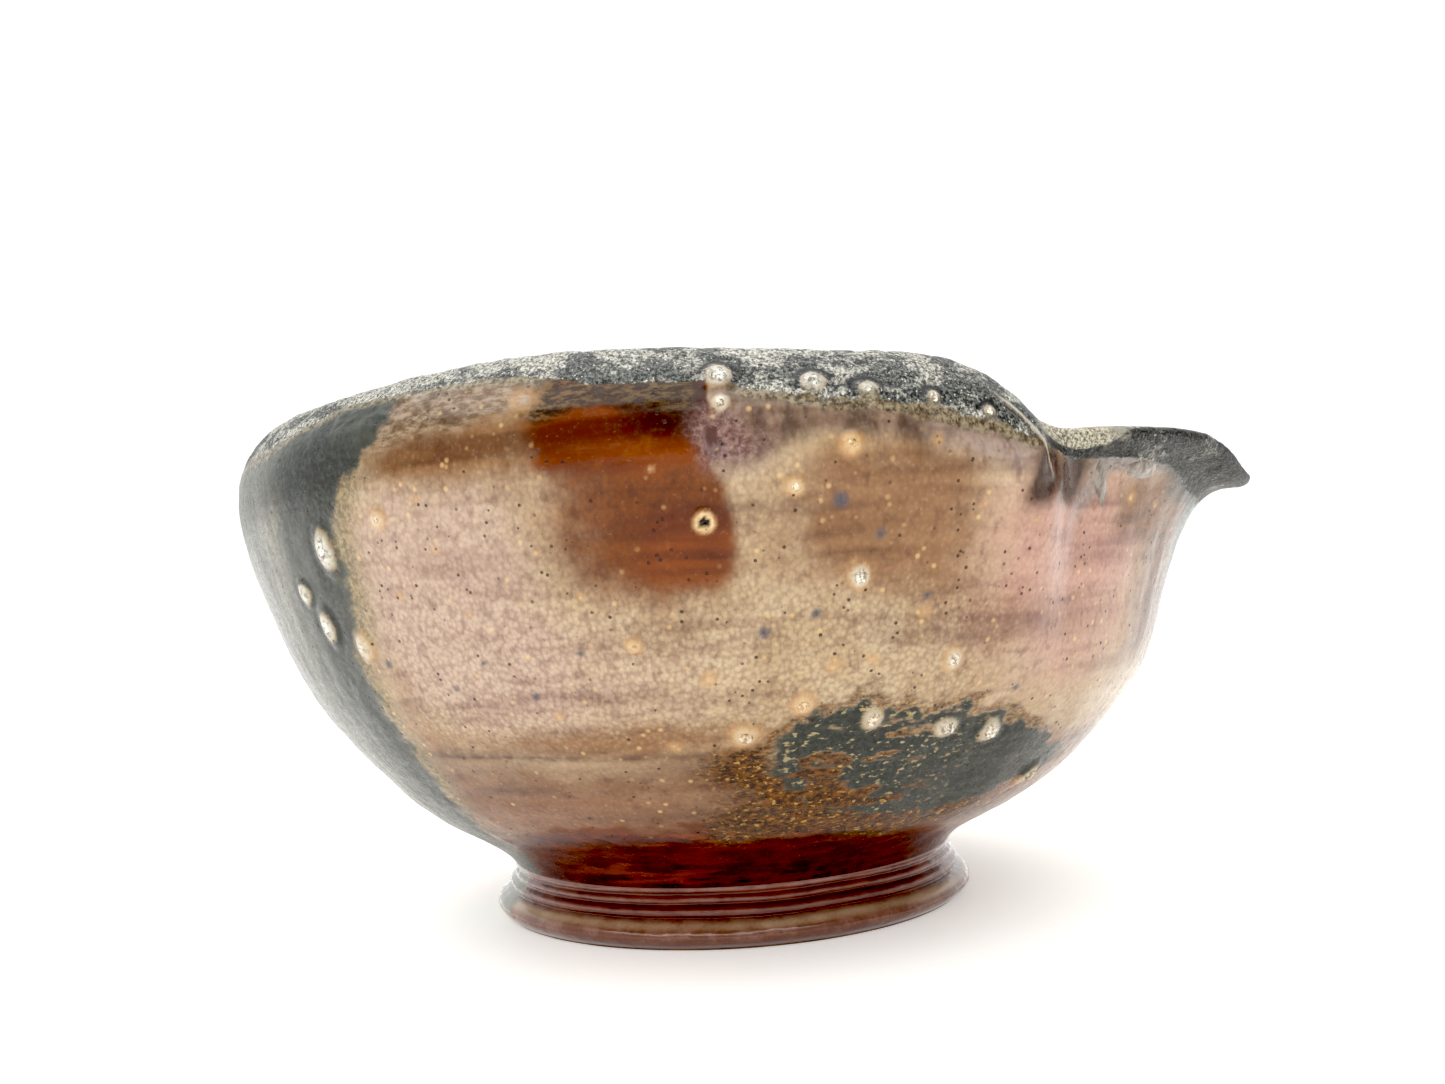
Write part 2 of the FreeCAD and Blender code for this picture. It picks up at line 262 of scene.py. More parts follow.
def oval_distance(points, degrees, v, wide, tall, far):
    """How far points are from a place on the wall, as a share of an oval's half width and length.

    Points more than far mm away count as FAR_OFF.
    """
    middle, _, up, side = surface_place(degrees, v)
    close = np.linalg.norm(points - middle, axis=-1) < far
    offset = points[close] - middle
    across, along = offset @ side, offset @ up
    depth = np.maximum(np.linalg.norm(offset, axis=-1) ** 2 - across ** 2 - along ** 2, 0)
    result = np.full(points.shape[:-1], FAR_OFF)
    result[close] = np.sqrt((across / wide) ** 2 + (along / tall) ** 2 + depth / wide ** 2)
    return np.minimum(result, FAR_OFF)


def stone_relief(points):
    """Mounds over the stones, each in a shallow ditch."""
    lift = np.zeros(points.shape[:-1])
    for degrees, v, radius, tall, _ in STONES:
        d = oval_distance(points, degrees, v, radius, radius * tall, radius * tall * 3)
        lift += STAND["stone"] * radius ** 0.5 * np.exp(-(d / 0.95) ** 3)
        lift += STAND["stone_ditch"] * bell(d, 1.45, 0.3)
    return lift


def dent_relief(points):
    """The dents beside the lip and the pinhole, each with a low rim."""
    lift = np.zeros(points.shape[:-1])
    for degrees, v, wide, tall in DENTS:
        d = oval_distance(points, degrees, v, wide, tall, tall * 3.5)
        lift += STAND["dent"] * np.exp(-d ** 2.5) + STAND["dent_rim"] * bell(d, 1.5, 0.35)
    d = oval_distance(points, *PINHOLE, 1.0, 1.0, 4)
    return lift + STAND["hole_rim"] * bell(d, 1.0, 0.5) + STAND["hole"] * np.exp(-(d / 0.45) ** 4)


def throwing_lines(z, degrees):
    """Low horizontal ridges that a finger and a rib left on the turning clay, up to about 1."""
    rise = z + 0.25 * np.sin(np.radians(degrees + 40))
    return (np.sin(rise * 2.1) * 0.5 + np.sin(rise * 4.9 + 1.0) * 0.3
            + np.sin(rise * 1.05 + 2.0) * 0.8)


def wall_relief(points, degrees, v):
    """How far the finished surface stands off the plain wall, in mm, without stones and dents."""
    z, away = points[..., 2], np.abs(degrees)
    outside = 1 - ease(6.2, 7.0, v)
    crust = ease(5.9, 6.5, v) * (1 - ease(8.2, 8.9, v))
    wall = STAND["broad"] * noise(points, (22, 22, 14), 11, 2)
    wall = wall + STAND["runs"] * noise(points, (3.2, 3.2, 9.0), 21, 3)
    lines = throwing_lines(z, degrees) * (0.4 + bell(z, 24, 7) + 0.7 * bell(z, 60, 3))
    wall = (wall + STAND["lines"] * lines) * ease(0.0, 0.5, v)
    fold = bell(away, 38.5, 1.3) * ease(4.9, 5.4, v) * (1 - ease(6.3, 7.2, v))
    ridge = bell(away, 36.9, 1.0) * ease(5.1, 5.6, v) * (1 - ease(6.6, 7.4, v))
    wall = (wall + STAND["fold"] * fold + STAND["fold_ridge"] * ridge) * outside
    skin = STAND["skin"] * noise(points, 1.6, 31, 2)
    return wall + skin + STAND["grit"] * noise(points, (1.5, 1.5, 1.2), 41, 3) * crust


# ---------------------------------------------------------------- where each glaze colour lies
# the ash cloud's edge: height and angle
ASH_EDGE = [
    (7, -126), (12, -118), (16, -116), (25, -115.5), (30, -115.5), (35, -116), (40, -113.5),
    (45, -112.5), (50, -112), (53, -110), (56, -107.5), (58, -106), (60, -104.5), (66, -102)]
# the crust's lower edge: angle and place along the section
CRUST_EDGE = [
    (-180, 6.3), (-150, 6.1), (-126, 6.25), (-119, 6.55), (-111, 6.95), (-97, 6.84), (-90, 6.8),
    (-85, 6.48), (-81.5, 6.35), (-73.5, 6.40), (-69.2, 6.28), (-65.8, 6.13), (-61.5, 6.08),
    (-57, 5.99), (-52.5, 5.91), (-47.5, 5.78), (-42.2, 5.75), (-36.8, 6.16), (-30.2, 6.17),
    (-22.5, 6.09), (-11, 5.6), (0, 5.4), (11, 5.6), (22.5, 6.1), (37, 6.15), (60, 5.9), (100, 6.4),
    (140, 6.0), (180, 6.3)]
# the lower edge of the grey smoke below the crust: angle and height
SMOKE_EDGE = [
    (-180, 55), (-140, 54), (-76, 53.5), (-71.5, 52.8), (-68, 53.6), (-64.5, 54.8), (-60, 55.0),
    (-55.5, 54.6), (-51, 52.8), (-46.8, 51.4), (-43.5, 51.0), (-36, 54), (20, 54), (60, 53),
    (100, 56), (140, 53), (180, 55)]
# the low ash patch: its upper and lower edges, angle and height
PATCH_TOP = [
    (-72, 24.5), (-67, 26.2), (-63, 28.6), (-57.7, 30.2), (-50, 28.6), (-40, 27.6), (-33, 25.2),
    (-26, 22.8), (-18, 21.4), (-10, 20.5)]
PATCH_BOTTOM = [
    (-72, 23.5), (-65.5, 21.0), (-60, 18.6), (-55.5, 17.4), (-48, 15.8), (-40, 15.8), (-30, 17.2),
    (-20, 18.6), (-10, 19.5)]
# the upper edge of the dark red glaze above the foot: angle and height
MAHOGANY_EDGE = [
    (-180, 11), (-130, 9.4), (-115, 12.4), (-105, 14.2), (-93, 15.3), (-76, 15.9), (-61, 15.0),
    (-50, 14.0), (-40, 12.7), (-30, 11.3), (-18, 10.2), (20, 11), (90, 13), (140, 12), (180, 11)]
# the lower edge of the thin amber veil: angle and height
VEIL_EDGE = [
    (-92, 46), (-88, 44.8), (-85, 43.4), (-82, 42.4), (-78, 41.6), (-73, 42.0), (-70, 44.0),
    (-67, 47)]
# the fold's ridge above the dents, with its pale line and painted highlight: angle away from the lip and
# place along the section
FOLD_LINE = [
    (38.5, 5.3), (39.8, 5.69), (40.5, 5.87), (41.5, 6.04), (42.5, 6.25), (44.0, 6.35), (46.0, 6.6)]
# soft patches: strength, angle, height, half width in degrees, half height in mm, how square
PATCHES = {
    "pink": [(1.0, -100, 43, 11, 13, 3), (0.6, -86, 33, 14, 7, 2), (0.6, -100, 18.5, 16, 3, 2)],
    "rose": [(1.0, -33, 44, 16, 9, 3), (0.5, -30, 32, 14, 5, 2)],
    "ochre": [(1.0, -56, 49.0, 8.5, 8.0, 4), (0.4, -68, 47, 5, 7, 2), (0.45, -47, 39, 9, 4, 2),
              (0.85, -84, 27.0, 28, 2.2, 2), (0.5, -110, 31, 4, 8, 2)],
    "brown": [(0.9, -102, 57.2, 6, 2.6, 2), (0.9, -91.5, 57.5, 7.0, 3.8, 2),
              (1.6, -18.5, 48.4, 7.0, 3.2, 3)],
    # painted shade: a low band round -40 degrees at 37 mm
    "painted_shade": [(0.3, -40, 37, 18, 2.0, 2)],
    "pool": [(0.95, -73.5, 46.5, 6.0, 4.6, 3)],
    "burnt": [(0.4, -73, 46.5, 4, 4, 2)],
    "violet": [(1.0, -71.6, 56.8, 2.0, 3.0, 3), (0.5, -68.5, 56, 2.5, 2.5, 2)],
    "rust": [(1.0, -90, 9.0, 18, 2.5, 2), (1.0, -76, 15.0, 16, 1.2, 2)],
    "beak": [(1.1, 0, 49, 8.5, 11, 2.4), (0.8, 11, 50.5, 6.0, 4.0, 2.4)],
    "beak_near": [(0.8, -22, 54.0, 12, 1.7, 3)],
    "beak_dark": [(0.5, -14, 53, 14, 3.5, 3)],
    "cloud_dark": [(1.0, -114, 56.0, 9.5, 4.2, 3)],
    "gold": [(0.5, -69, 20.5, 6, 3, 2)],
    "dent": [(1.6, 39.9, 52.0, 1.9, 3.1, 3), (1.6, 34.6, 51.6, 3.0, 2.5, 3)],
    "smear": [(1.0, 29.5, 51.2, 1.7, 3.4, 3)],
    "smear_beak": [(0.8, 24.5, 53.8, 6.5, 1.5, 3)],
    "foot_ash": [(0.8, 120, 4, 22, 6, 2)]}
# panes: strength, lowest and highest angle and their softness, then the same for the height
PANES = {
    "brown_high": (0.7, (-64, -50, 1.2, 5), (42.5, 53, 1.5, 2)),
    "brown_low": (0.6, (-112, -72, 5, 5), (17.0, 25.5, 1.5, 1.5)),
    "crackle": (1.0, (-110, -44, 6, 8), (27, 42, 3, 4)),
    "crackle_high": (0.5, (-110, -64, 4, 3), (42, 56, 3, 3)),
    "dots": (1.0, (-100, -76, 4, 3), (43.5, 52, 1.5, 2)),
    "burnt_line": (0.6, (-85.5, 0, 2.0, 1), (60.2, 61.4, 1.0, 0.8)),
    "holes": (0.95, (-72, -46, 2, 7), (17, 28, 1, 2)),
    "gold_low": (0.8, (-76, -34, 5, 8), (14.0, 18.8, 1.4, 2.0)),
    "gold_shore": (0.25, (0, 4, 1.5, 3.5), (22, 40, 5, 6)),
    "moss_shore": (1.0, (-2.5, 2.8, 1.5, 3.0), (17, 57, 5, 4))}
# the masks that go on inside the bowl
ALSO_INSIDE = ("streak", "pink", "crust", "pale_crust_and_highlight")


def window(x, low, high, soft_low, soft_high):
    """1 from low to high, with soft ends."""
    rise = ease(low - soft_low, low + soft_low, x)
    return rise * (1 - ease(high - soft_high, high + soft_high, x))


def above(x, edge, soft):
    return ease(-soft, soft, x - edge)


def along_curve(x, knots):
    places, values = zip(*knots)
    return np.interp(x, places, values)


def patches(name, a, z):
    """The sum of the soft patches of one name."""
    return sum(strength * np.exp(-(np.abs((a - middle_a) / wide) ** power
                                   + np.abs((z - middle_z) / tall) ** power))
               for strength, middle_a, middle_z, wide, tall, power in PATCHES[name])


def pane(name, a, z):
    strength, angles, heights = PANES[name]
    return strength * window(z, *heights) * window(a, *angles)


def far_side(a):
    """1 on the half of the wall that is turned away from the camera, with soft ends."""
    turned = (a + 180) % 360 - 180
    return ease(12, 30, turned) + (1 - ease(-165, -145, turned))


def colour_masks(points, degrees, v):
    """Amounts from 0 to 1 of every glaze colour at each point."""
    warp = noise(points, 9.0, 51, 3)
    fine = noise(points, 2.2, 71, 3)
    z = points[..., 2] + 0.8 * noise(points, (7.0, 7.0, 5.0), 61, 3) + 0.3 * fine
    place = {"a": degrees + 1.3 * warp + 0.4 * fine, "degrees": degrees, "v": v, "z": z,
             "height": points[..., 2], "points": points, "warp": warp, "fine": fine,
             "back": far_side(degrees)}
    wavy = points + np.array([0, 0, 0.8]) * noise(points, 24, 82, 2)[..., None]
    masks = {"streak": 0.5 + 0.32 * noise(wavy, (22, 22, 2.4), 81, 2)
             + 0.2 * noise(wavy, (9, 9, 0.9), 83, 2)}
    for make in (ground_masks, smoke_masks, amber_masks, ash_masks, crust_masks, spot_masks):
        masks.update(make(**place))
    masks = {key: np.clip(values, 0, 1) for key, values in masks.items()}
    masks["halo"] = masks["halo"] * (1 - masks["ash"])
    return inside_masks(masks, v, points, warp)


def inside_masks(masks, v, points, warp):
    """Keeps the outside's features outside, and gives the inside an amber pool and ash."""
    inside = ease(8.2, 8.9, v)
    z = points[..., 2]
    masks = {key: values if key in ALSO_INSIDE else values * (1 - inside)
             for key, values in masks.items()}
    pool = inside * (1 - ease(12.5, 18.0, z + 1.5 * warp))
    drift = ease(-0.1, 0.8, noise(points, (30, 30, 24), 171, 3)) * ease(20, 34, z)
    masks["veil"] = masks["veil"] + pool
    masks["amber"] = masks["amber"] + 0.5 * pool * ease(0.0, 0.6, warp)
    masks["moss"] = masks["moss"] + 0.8 * inside * drift
    masks["low"] = masks["low"] + 0.5 * inside * ease(34, 20, z)
    masks["crackle"] = masks["crackle"] + 0.5 * inside
    return masks


def ground_masks(a, z, degrees, height, points, warp, back, **_):
    """Pink, ochre and brown ground, the darkening low on the wall that is partly glaze and partly
    painted shade, painted shade on the front near the lip, and its fine patterns.
    """
    cloud = noise(points, (26, 26, 18), 91, 2)
    front = 1 - back
    high_lines = ease(-0.2, 0.7, noise(points, (20, 20, 3), 131, 2))
    low_lines = ease(-0.1, 0.6, noise(points, (24, 24, 1.8), 133, 2))
    brown = (patches("brown", a, z) + pane("brown_high", a, z) * high_lines
             + pane("brown_low", a, z) * low_lines)
    # low: darker low on the wall, partly the glaze's own colour and partly painted shade on the
    # underside
    low = (1 - ease(22.0, 26.5, z)) * (0.75 + 0.25 * ease(-0.6, 0.6, warp))
    groove = bell(height + 0.012 * (degrees + 80) - 25.3, 0, 0.28)
    return {
        "pink": patches("pink", a, z) * front + back * ease(-0.2, 0.6, cloud),
        "rose": patches("rose", a, z) * front,
        "ochre": patches("ochre", a, z) * front + 0.8 * back * ease(0.0, 0.7, -cloud),
        "brown": brown * front,
        "low": low,
        # painted shade: the front darkens from -23 degrees towards the lip above 30 mm, where the wall
        # turns to the dim side
        "painted_shade": ease(-23, -11, a) * front * above(z, 30, 6) + patches("painted_shade", a, z),
        "crackle": pane("crackle", a, z) + pane("crackle_high", a, z) + 0.6 * back,
        "dots": pane("dots", a, z) * ease(-0.35, 0.2, noise(points, (5, 5, 2), 161, 2)),
        "groove": groove * window(degrees, -116, -76, 3, 8)}


def smoke_masks(a, degrees, height, points, warp, back, **_):
    """Grey smoke below the crust, its lilac part near the lip, and the mist over the amber."""
    hang = height + 0.9 * noise(points, (4.5, 4.5, 30.0), 101, 2) + 0.4 * warp
    smoke = ease(-0.9, 2.6, hang - along_curve(degrees, SMOKE_EDGE))
    behind = 0.8 * back * ease(-0.3, 0.3, warp)
    mist = above(hang, 60.0, 1.3) * window(a, -112, -72.5, 4, 0.6)
    return {
        "smoke": smoke * (window(a, -71.5, -38, 1.0, 3) + behind),
        "lilac": window(a, -52, -38, 3, 4) * above(hang, 52.0, 1.5),
        "mist": (mist * (0.75 + 0.25 * ease(-84, -90, a))
                 + 0.5 * above(hang, 57.4, 1.6) * window(a, -112, -97, 3, 4))}


def amber_masks(a, z, degrees, height, fine, **_):
    """The thick amber pool under the rim, the thin veil that hangs from it, and dark red glaze."""
    lower = 1 - ease(50, 55, height)
    right = 1 - above(degrees + 0.35 * fine, -72.2 + 1.8 * lower, 0.45 + 1.2 * lower)
    veil = window(a, -89.0, 0, 5.0, 1) * above(z, along_curve(a, VEIL_EDGE), 4.0)
    veil = veil * (0.55 + 0.45 * ease(-89, -76, a))
    pool = window(a, -88.2, 0, 2.2, 1) * above(z, 54.0, 1.6)
    burnt = (0.95 * window(a, -78.5, 0, 4.0, 1) * above(z, 57.6, 2.2) + pane("burnt_line", a, z)
             + patches("burnt", a, z))
    return {
        "amber": np.maximum(pool, veil * patches("pool", a, z)) * right,
        "veil": veil * right,
        "burnt": burnt * right,
        "violet": patches("violet", a, z),
        "rust": patches("rust", a, height),
        "mahogany": 1 - ease(-1.3, 2.2, z - along_curve(degrees, MAHOGANY_EDGE) + 0.5 * fine)}


def low_patch(a, degrees, height, points, fine):
    """The ash patch low on the wall, torn by holes, and the gold fringe round it."""
    jagged = height + fine + 0.5 * noise(points, (1.6, 1.6, 0.8), 141, 2)
    from_bottom = jagged - along_curve(degrees, PATCH_BOTTOM)
    from_top = along_curve(degrees, PATCH_TOP) - jagged
    patch = ease(-0.9, 0.9, from_bottom) * ease(-0.7, 0.9, from_top)
    gaps = noise(points, (4.2, 4.2, 1.3), 151, 3)
    gaps = gaps + 0.5 * bell(height, 22.5, 2.5) * bell(degrees, -61, 8)
    holes = ease(0.12, 0.5, gaps) * pane("holes", a, height)
    patch = patch * window(a, -67.0, -16, 3.0, 7.0) * (1 - holes)
    fringe = ease(-3.5, -0.3, from_bottom) * ease(-2.2, 0.0, from_top)
    return patch, np.clip(fringe * window(a, -76, -26, 5, 6) - patch, 0, 1)


def ash_masks(a, z, degrees, height, points, warp, fine, back, **_):
    """Grey-green fly ash: the cloud at the left, the low patch, the beak, and the far side."""
    inland = degrees - along_curve(height, ASH_EDGE) - warp
    cloud = 1 - ease(-2.6, 2.2, inland + 1.3 * fine)
    cloud = cloud * ease(-176, -160, degrees + 6 * warp)
    thin = ease(0.15, 0.9, noise(points, (16, 16, 22), 191, 3)) * window(height, 14, 56, 5, 4)
    vein = bell(inland + 1.2 * warp, -3.2, 2.4) * window(height, 18, 54, 4, 4)
    vein = vein + 0.5 * bell(inland + 2 * warp, -9, 1.8)
    patch, fringe = low_patch(a, degrees, height, points, fine)
    side = np.abs(degrees + 2.5 * warp + 1.2 * fine)
    beak = patches("beak", side, height + 2.2 * warp + 0.8 * fine)
    drifts = noise(points, (24, 24, 30), 111, 3) + 0.25 * warp
    behind = back * window(z, 14, 52, 6, 7)
    return {
        "ash": np.maximum.reduce([cloud * (1 - 0.45 * thin * ease(-6, -14, inland)), patch,
                                  beak + patches("beak_near", degrees, height),
                                  behind * ease(0.0, 0.65, drifts)]),
        "ash_dark": (cloud * (vein + patches("cloud_dark", a, z)) + 0.75 * patch
                     + patches("beak_dark", degrees, height)),
        "ash_pale": (1 - ease(-127, -119, degrees + 3 * warp)) * (1 - 0.5 * back),
        "fleck": patch * window(a, -70, -42, 4, 8),
        "moss": (pane("moss_shore", inland, height) + 0.9 * cloud * thin
                 + 0.8 * behind * window(drifts, -0.15, 0.35, 0.2, 0.2)),
        "gold": (pane("gold_low", a, z) + 0.8 * fringe + patches("gold", a, z)
                 + pane("gold_shore", inland, height))}


def crust_masks(degrees, v, height, points, warp, fine, **_):
    """The ash crust on the rim and the lip, with painted highlights on the rim, the fold's pale ridge
    with its painted highlight, and the dents beside it.
    """
    crust_edge = along_curve(degrees, CRUST_EDGE) + 0.07 * fine + 0.05 * warp
    high_edge = 8.3 + 0.25 * warp
    rise = v - crust_edge
    # pale ash crust, with painted highlights on the rim near -93 and -67 degrees and along its top
    pale = (0.40 + 0.40 * bell(degrees, -93, 6) + 0.3 * bell(degrees, -116, 14)
            + 0.5 * bell(degrees, -67, 2.5) + 0.8 * noise(points, (4, 4, 2), 121, 3)
            - 0.2 * window(degrees, -60, 40, 5, 9) + 0.25 * ease(6.9, 7.6, v)
            - 0.5 * window(rise, 0.0, 0.3, 0.1, 0.15) * window(degrees, -104, -73, 5, 2))
    away = np.abs(degrees)
    beak = 1 - ease(25, 34, away)
    lip_side = 1 - ease(37, 41, away)
    fold = v - along_curve(away, FOLD_LINE)
    not_amber = 1 - window(degrees, -87, -70, 1, 1)
    soot = window(rise, 0.02, 0.42 + 2.2 * beak, 0.12, 0.2) * (0.8 + 0.4 * fine)
    smear = patches("smear", away + 0.7 * (height - 52), height)
    return {
        "crust": above(v, crust_edge, 0.12) * (1 - ease(high_edge, high_edge + 0.5, v)),
        "pale_crust_and_highlight": pale,
        "fringe": window(rise, -0.22, 0.12, 0.10, 0.1) * (1 - lip_side) * not_amber,
        "soot": lip_side * soot,
        "lip_cream": lip_side * (1 - beak) * above(rise, 0.5, 0.15),
        # pale line on the fold's ridge, partly glaze and partly painted highlight
        "fold_pale_and_highlight": bell(fold, 0.03, 0.085) * window(away, 38.8, 44.5, 0.8, 1.5),
        "fold_dark": bell(fold, -0.19, 0.06) * window(away, 39.2, 44.5, 0.8, 1.0),
        "dent": patches("dent", away + 0.35 * (height - 52), height),
        "smear": smear + patches("smear_beak", away, height)}


def spot_masks(points, fine, **_):
    """The stones with their halos, freckles, specks of iron, and the pinhole."""
    wobble = 1 + 0.22 * fine
    cream, white, halo, speck, ring = (np.zeros(points.shape[:-1]) for _ in range(5))
    for degrees, v, radius, tall, bare in STONES:
        d = wobble * oval_distance(points, degrees, v, radius, radius * tall, radius * tall * 3)
        spot = 1 - ease(0.5, 1.25, d)
        cream = np.maximum(cream, spot * (0.45 + 0.4 * bare))
        white = np.maximum(white, spot * bare)
        if v < IN_CRUST:
            halo = np.maximum(halo, (1 - ease(0.7, 1.7, d)) * (1.0 - 0.45 * bare))
        else:
            rise = (points[..., 2] - surface_place(degrees, v)[0][2]) / radius
            ring = np.maximum(ring, bell(d, 1.25, 0.3) * ease(-0.3, 0.7, rise))
    for degrees, v, radius in FRECKLES:
        d = wobble * oval_distance(points, degrees, v, radius, radius, radius * 4)
        cream = np.maximum(cream, 0.45 * (1 - ease(0.1, 0.9, d)))
        halo = np.maximum(halo, 0.7 * (1 - ease(0.5, 1.7, d)))
        if radius > WHITE_FRECKLE:
            white = np.maximum(white, 1 - ease(0.5, 1.5, d))
    for degrees, v, radius in SPECKS:
        d = wobble * oval_distance(points, degrees, v, radius, radius, radius * 3)
        speck = np.maximum(speck, 1 - ease(0.2, 1.2, d))
    d = oval_distance(points, *PINHOLE, 1.1, 1.1, 5)
    halo = np.maximum(halo, 1 - ease(0.8, 1.4, d))
    cream = np.maximum(cream, 0.75 * (1 - ease(0.6, 1.05, d * wobble)))
    return {"cream": cream, "white": white, "halo": halo, "speck": speck, "ring": ring,
            "hole": 1 - ease(0.34, 0.5, d * wobble)}


# ---------------------------------------------------------------- meshes
def build_mesh(name, points, faces, normals=None, masks=None):
    """A smooth mesh object in metres, with its masks as point attributes."""
    mesh = bpy.data.meshes.new(name)
    points = np.asarray(points, np.float32).reshape(-1, 3) * MM
    faces = np.asarray(faces, np.int32)
    sides = faces.shape[1]
    mesh.vertices.add(len(points))
    mesh.vertices.foreach_set("co", points.ravel())
    mesh.loops.add(faces.size)
    mesh.loops.foreach_set("vertex_index", faces.ravel())
    mesh.polygons.add(len(faces))
    mesh.polygons.foreach_set("loop_start", np.arange(0, faces.size, sides, dtype=np.int32))
    mesh.update(calc_edges=True)
    mesh.validate()
    mesh.shade_smooth()
    for key, values in (masks or {}).items():
        attribute = mesh.attributes.new(key, "FLOAT", "POINT")
        attribute.data.foreach_set("value", np.asarray(values, np.float32).ravel())
    if normals is not None:
        mesh.normals_split_custom_set_from_vertices(np.asarray(normals, float).reshape(-1, 3))
    piece = bpy.data.objects.new(name, mesh)
    bpy.context.scene.collection.objects.link(piece)
    return piece


def grid_faces(rows, columns, closed=False):
    """Quads of a grid that face out when rows go anticlockwise and columns go up the outside."""
    first = np.arange(rows if closed else rows - 1)
    i, j = np.meshgrid(first, np.arange(columns - 1), indexing="ij")
    after = (i + 1) % rows
    quads = [i * columns + j, after * columns + j, after * columns + j + 1, i * columns + j + 1]
    return np.stack(quads, -1).reshape(-1, 4)


def finished_grid(v):
    """Points, normals and masks of the finished surface, all round and at the places v."""
    degrees = np.linspace(-180, 180, STATIONS, endpoint=False)
    plain = wall_points(degrees, v)
    normal = grid_normals(plain)
    angle, place = np.meshgrid(degrees, v, indexing="ij")
    relief = wall_relief(plain, angle, place) + stone_relief(plain) + dent_relief(plain)
    relief = np.maximum(relief, -DEEPEST)
    points = plain + normal * relief[..., None]
    return points, grid_normals(points), colour_masks(plain, angle, place)


def dress(piece, material, slot, *nodes):
    """Gives a piece its material and its body, and hides the CAD nodes it stands for; its slot is not
    used.
    """
    piece.data.materials.clear()
    piece.data.materials.append(material)
    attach(piece, "root")
    if nodes:
        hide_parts(*nodes)


def make_outer_glaze(grid, material):
    """The outer glaze in three equal sectors, so that each is a light mesh."""
    points, normals, masks = grid
    sector = STATIONS // 3
    for index, letter in enumerate("abc"):
        pick = np.arange(index * sector, (index + 1) * sector + 1) % STATIONS
        piece = build_mesh("outer_glaze_" + letter, points[pick],
                           grid_faces(sector + 1, points.shape[1]), normals[pick],
                           {key: values[pick] for key, values in masks.items()})
        dress(piece, material, "outer_glaze", "outer_glaze")


def make_rim(grid, material):
    points, normals, masks = grid
    faces = grid_faces(STATIONS, points.shape[1], True)
    piece = build_mesh("rim_ash_crust", points, faces, normals, masks)
    dress(piece, material, "rim_ash", "rim_ash_glaze")


def make_inner_glaze(material):
    """The inner glaze from the rim down, with its floor closed by ever smaller rings."""
    points, normals, masks = finished_grid(np.linspace(RIM_END, LAST_SPAN, INNER_ROWS))
    last = points[:, -1]
    middle = last.mean(0)
    rings = np.stack([middle + (last - middle) * share for share in FLOOR_RINGS], 1)
    rings[..., 2] -= FLOOR_DIP * (1 - FLOOR_RINGS ** 2)
    points = np.concatenate([points, rings], 1)
    up = np.broadcast_to([0.0, 0.0, 1.0], rings.shape)
    normals = np.concatenate([normals, up], 1)
    masks = {key: np.concatenate([value, np.repeat(value[:, -1:], len(FLOOR_RINGS), 1)], 1)
             for key, value in masks.items()}
    faces = grid_faces(STATIONS, points.shape[1], True)
    piece = build_mesh("inner_glaze_skin", points, faces, normals, masks)
    dress(piece, material, "inner_glaze", "inner_glaze")


def smooth_path(points, count):
    """A Catmull-Rom curve through the points, evenly spaced by parameter."""
    p = np.array([points[0]] + list(points) + [points[-1]], float)
    t = np.linspace(0, len(points) - 1 - 1e-9, count)
    i, f = t.astype(int), (t % 1)[:, None]
    a, b, c, d = p[i], p[i + 1], p[i + 2], p[i + 3]
    return 0.5 * (2 * b + (c - a) * f + (2 * a - 5 * b + 4 * c - d) * f ** 2
                  + (3 * b - a - 3 * c + d) * f ** 3)


def make_foot_glaze(material):
    """The thin glaze on the foot: a rounded band at the base, a groove, and turned ridges."""
    profile = smooth_path(FOOT_OUTSIDE, FOOT_ROWS)
    degrees = np.linspace(-180, 180, STATIONS, endpoint=False)
    turn = np.radians(degrees)[:, None]
    z = np.repeat(profile[None, :, 1], STATIONS, 0)
    plain_r = np.repeat(profile[None, :, 0], STATIONS, 0)
    place = np.stack([plain_r * np.cos(turn), plain_r * np.sin(turn), z], -1)
    level = z + 0.22 * np.sin(turn + 0.7) + 0.1 * np.sin(2 * turn)
    level = level + 0.12 * noise(place, 14.0, 131, 2)
    relief = 0.3 * bell(level, 1.7, 0.9) - 0.50 * bell(level, 3.4, 0.22)
    for middle in FOOT_RIDGES:
        relief = relief + 0.26 * bell(level, middle, 0.34) - 0.14 * bell(level, middle + 0.6, 0.16)
    relief = relief + 0.10 * noise(place, (9, 9, 3), 141, 3)
    relief = relief + 0.03 * noise(place, (1.4, 1.4, 0.8), 151, 2)
    r = plain_r + relief * ease(7.0, 6.2, z) * ease(0.2, 0.9, z)
    points = np.stack([r * np.cos(turn), r * np.sin(turn), z], -1)
    masks = foot_masks(place, level, np.broadcast_to(degrees[:, None], z.shape))
    faces = grid_faces(STATIONS, points.shape[1], True)
    piece = build_mesh("foot_glaze_skin", points, faces, grid_normals(points), masks)
    dress(piece, material, "foot_glaze", "foot_glaze")


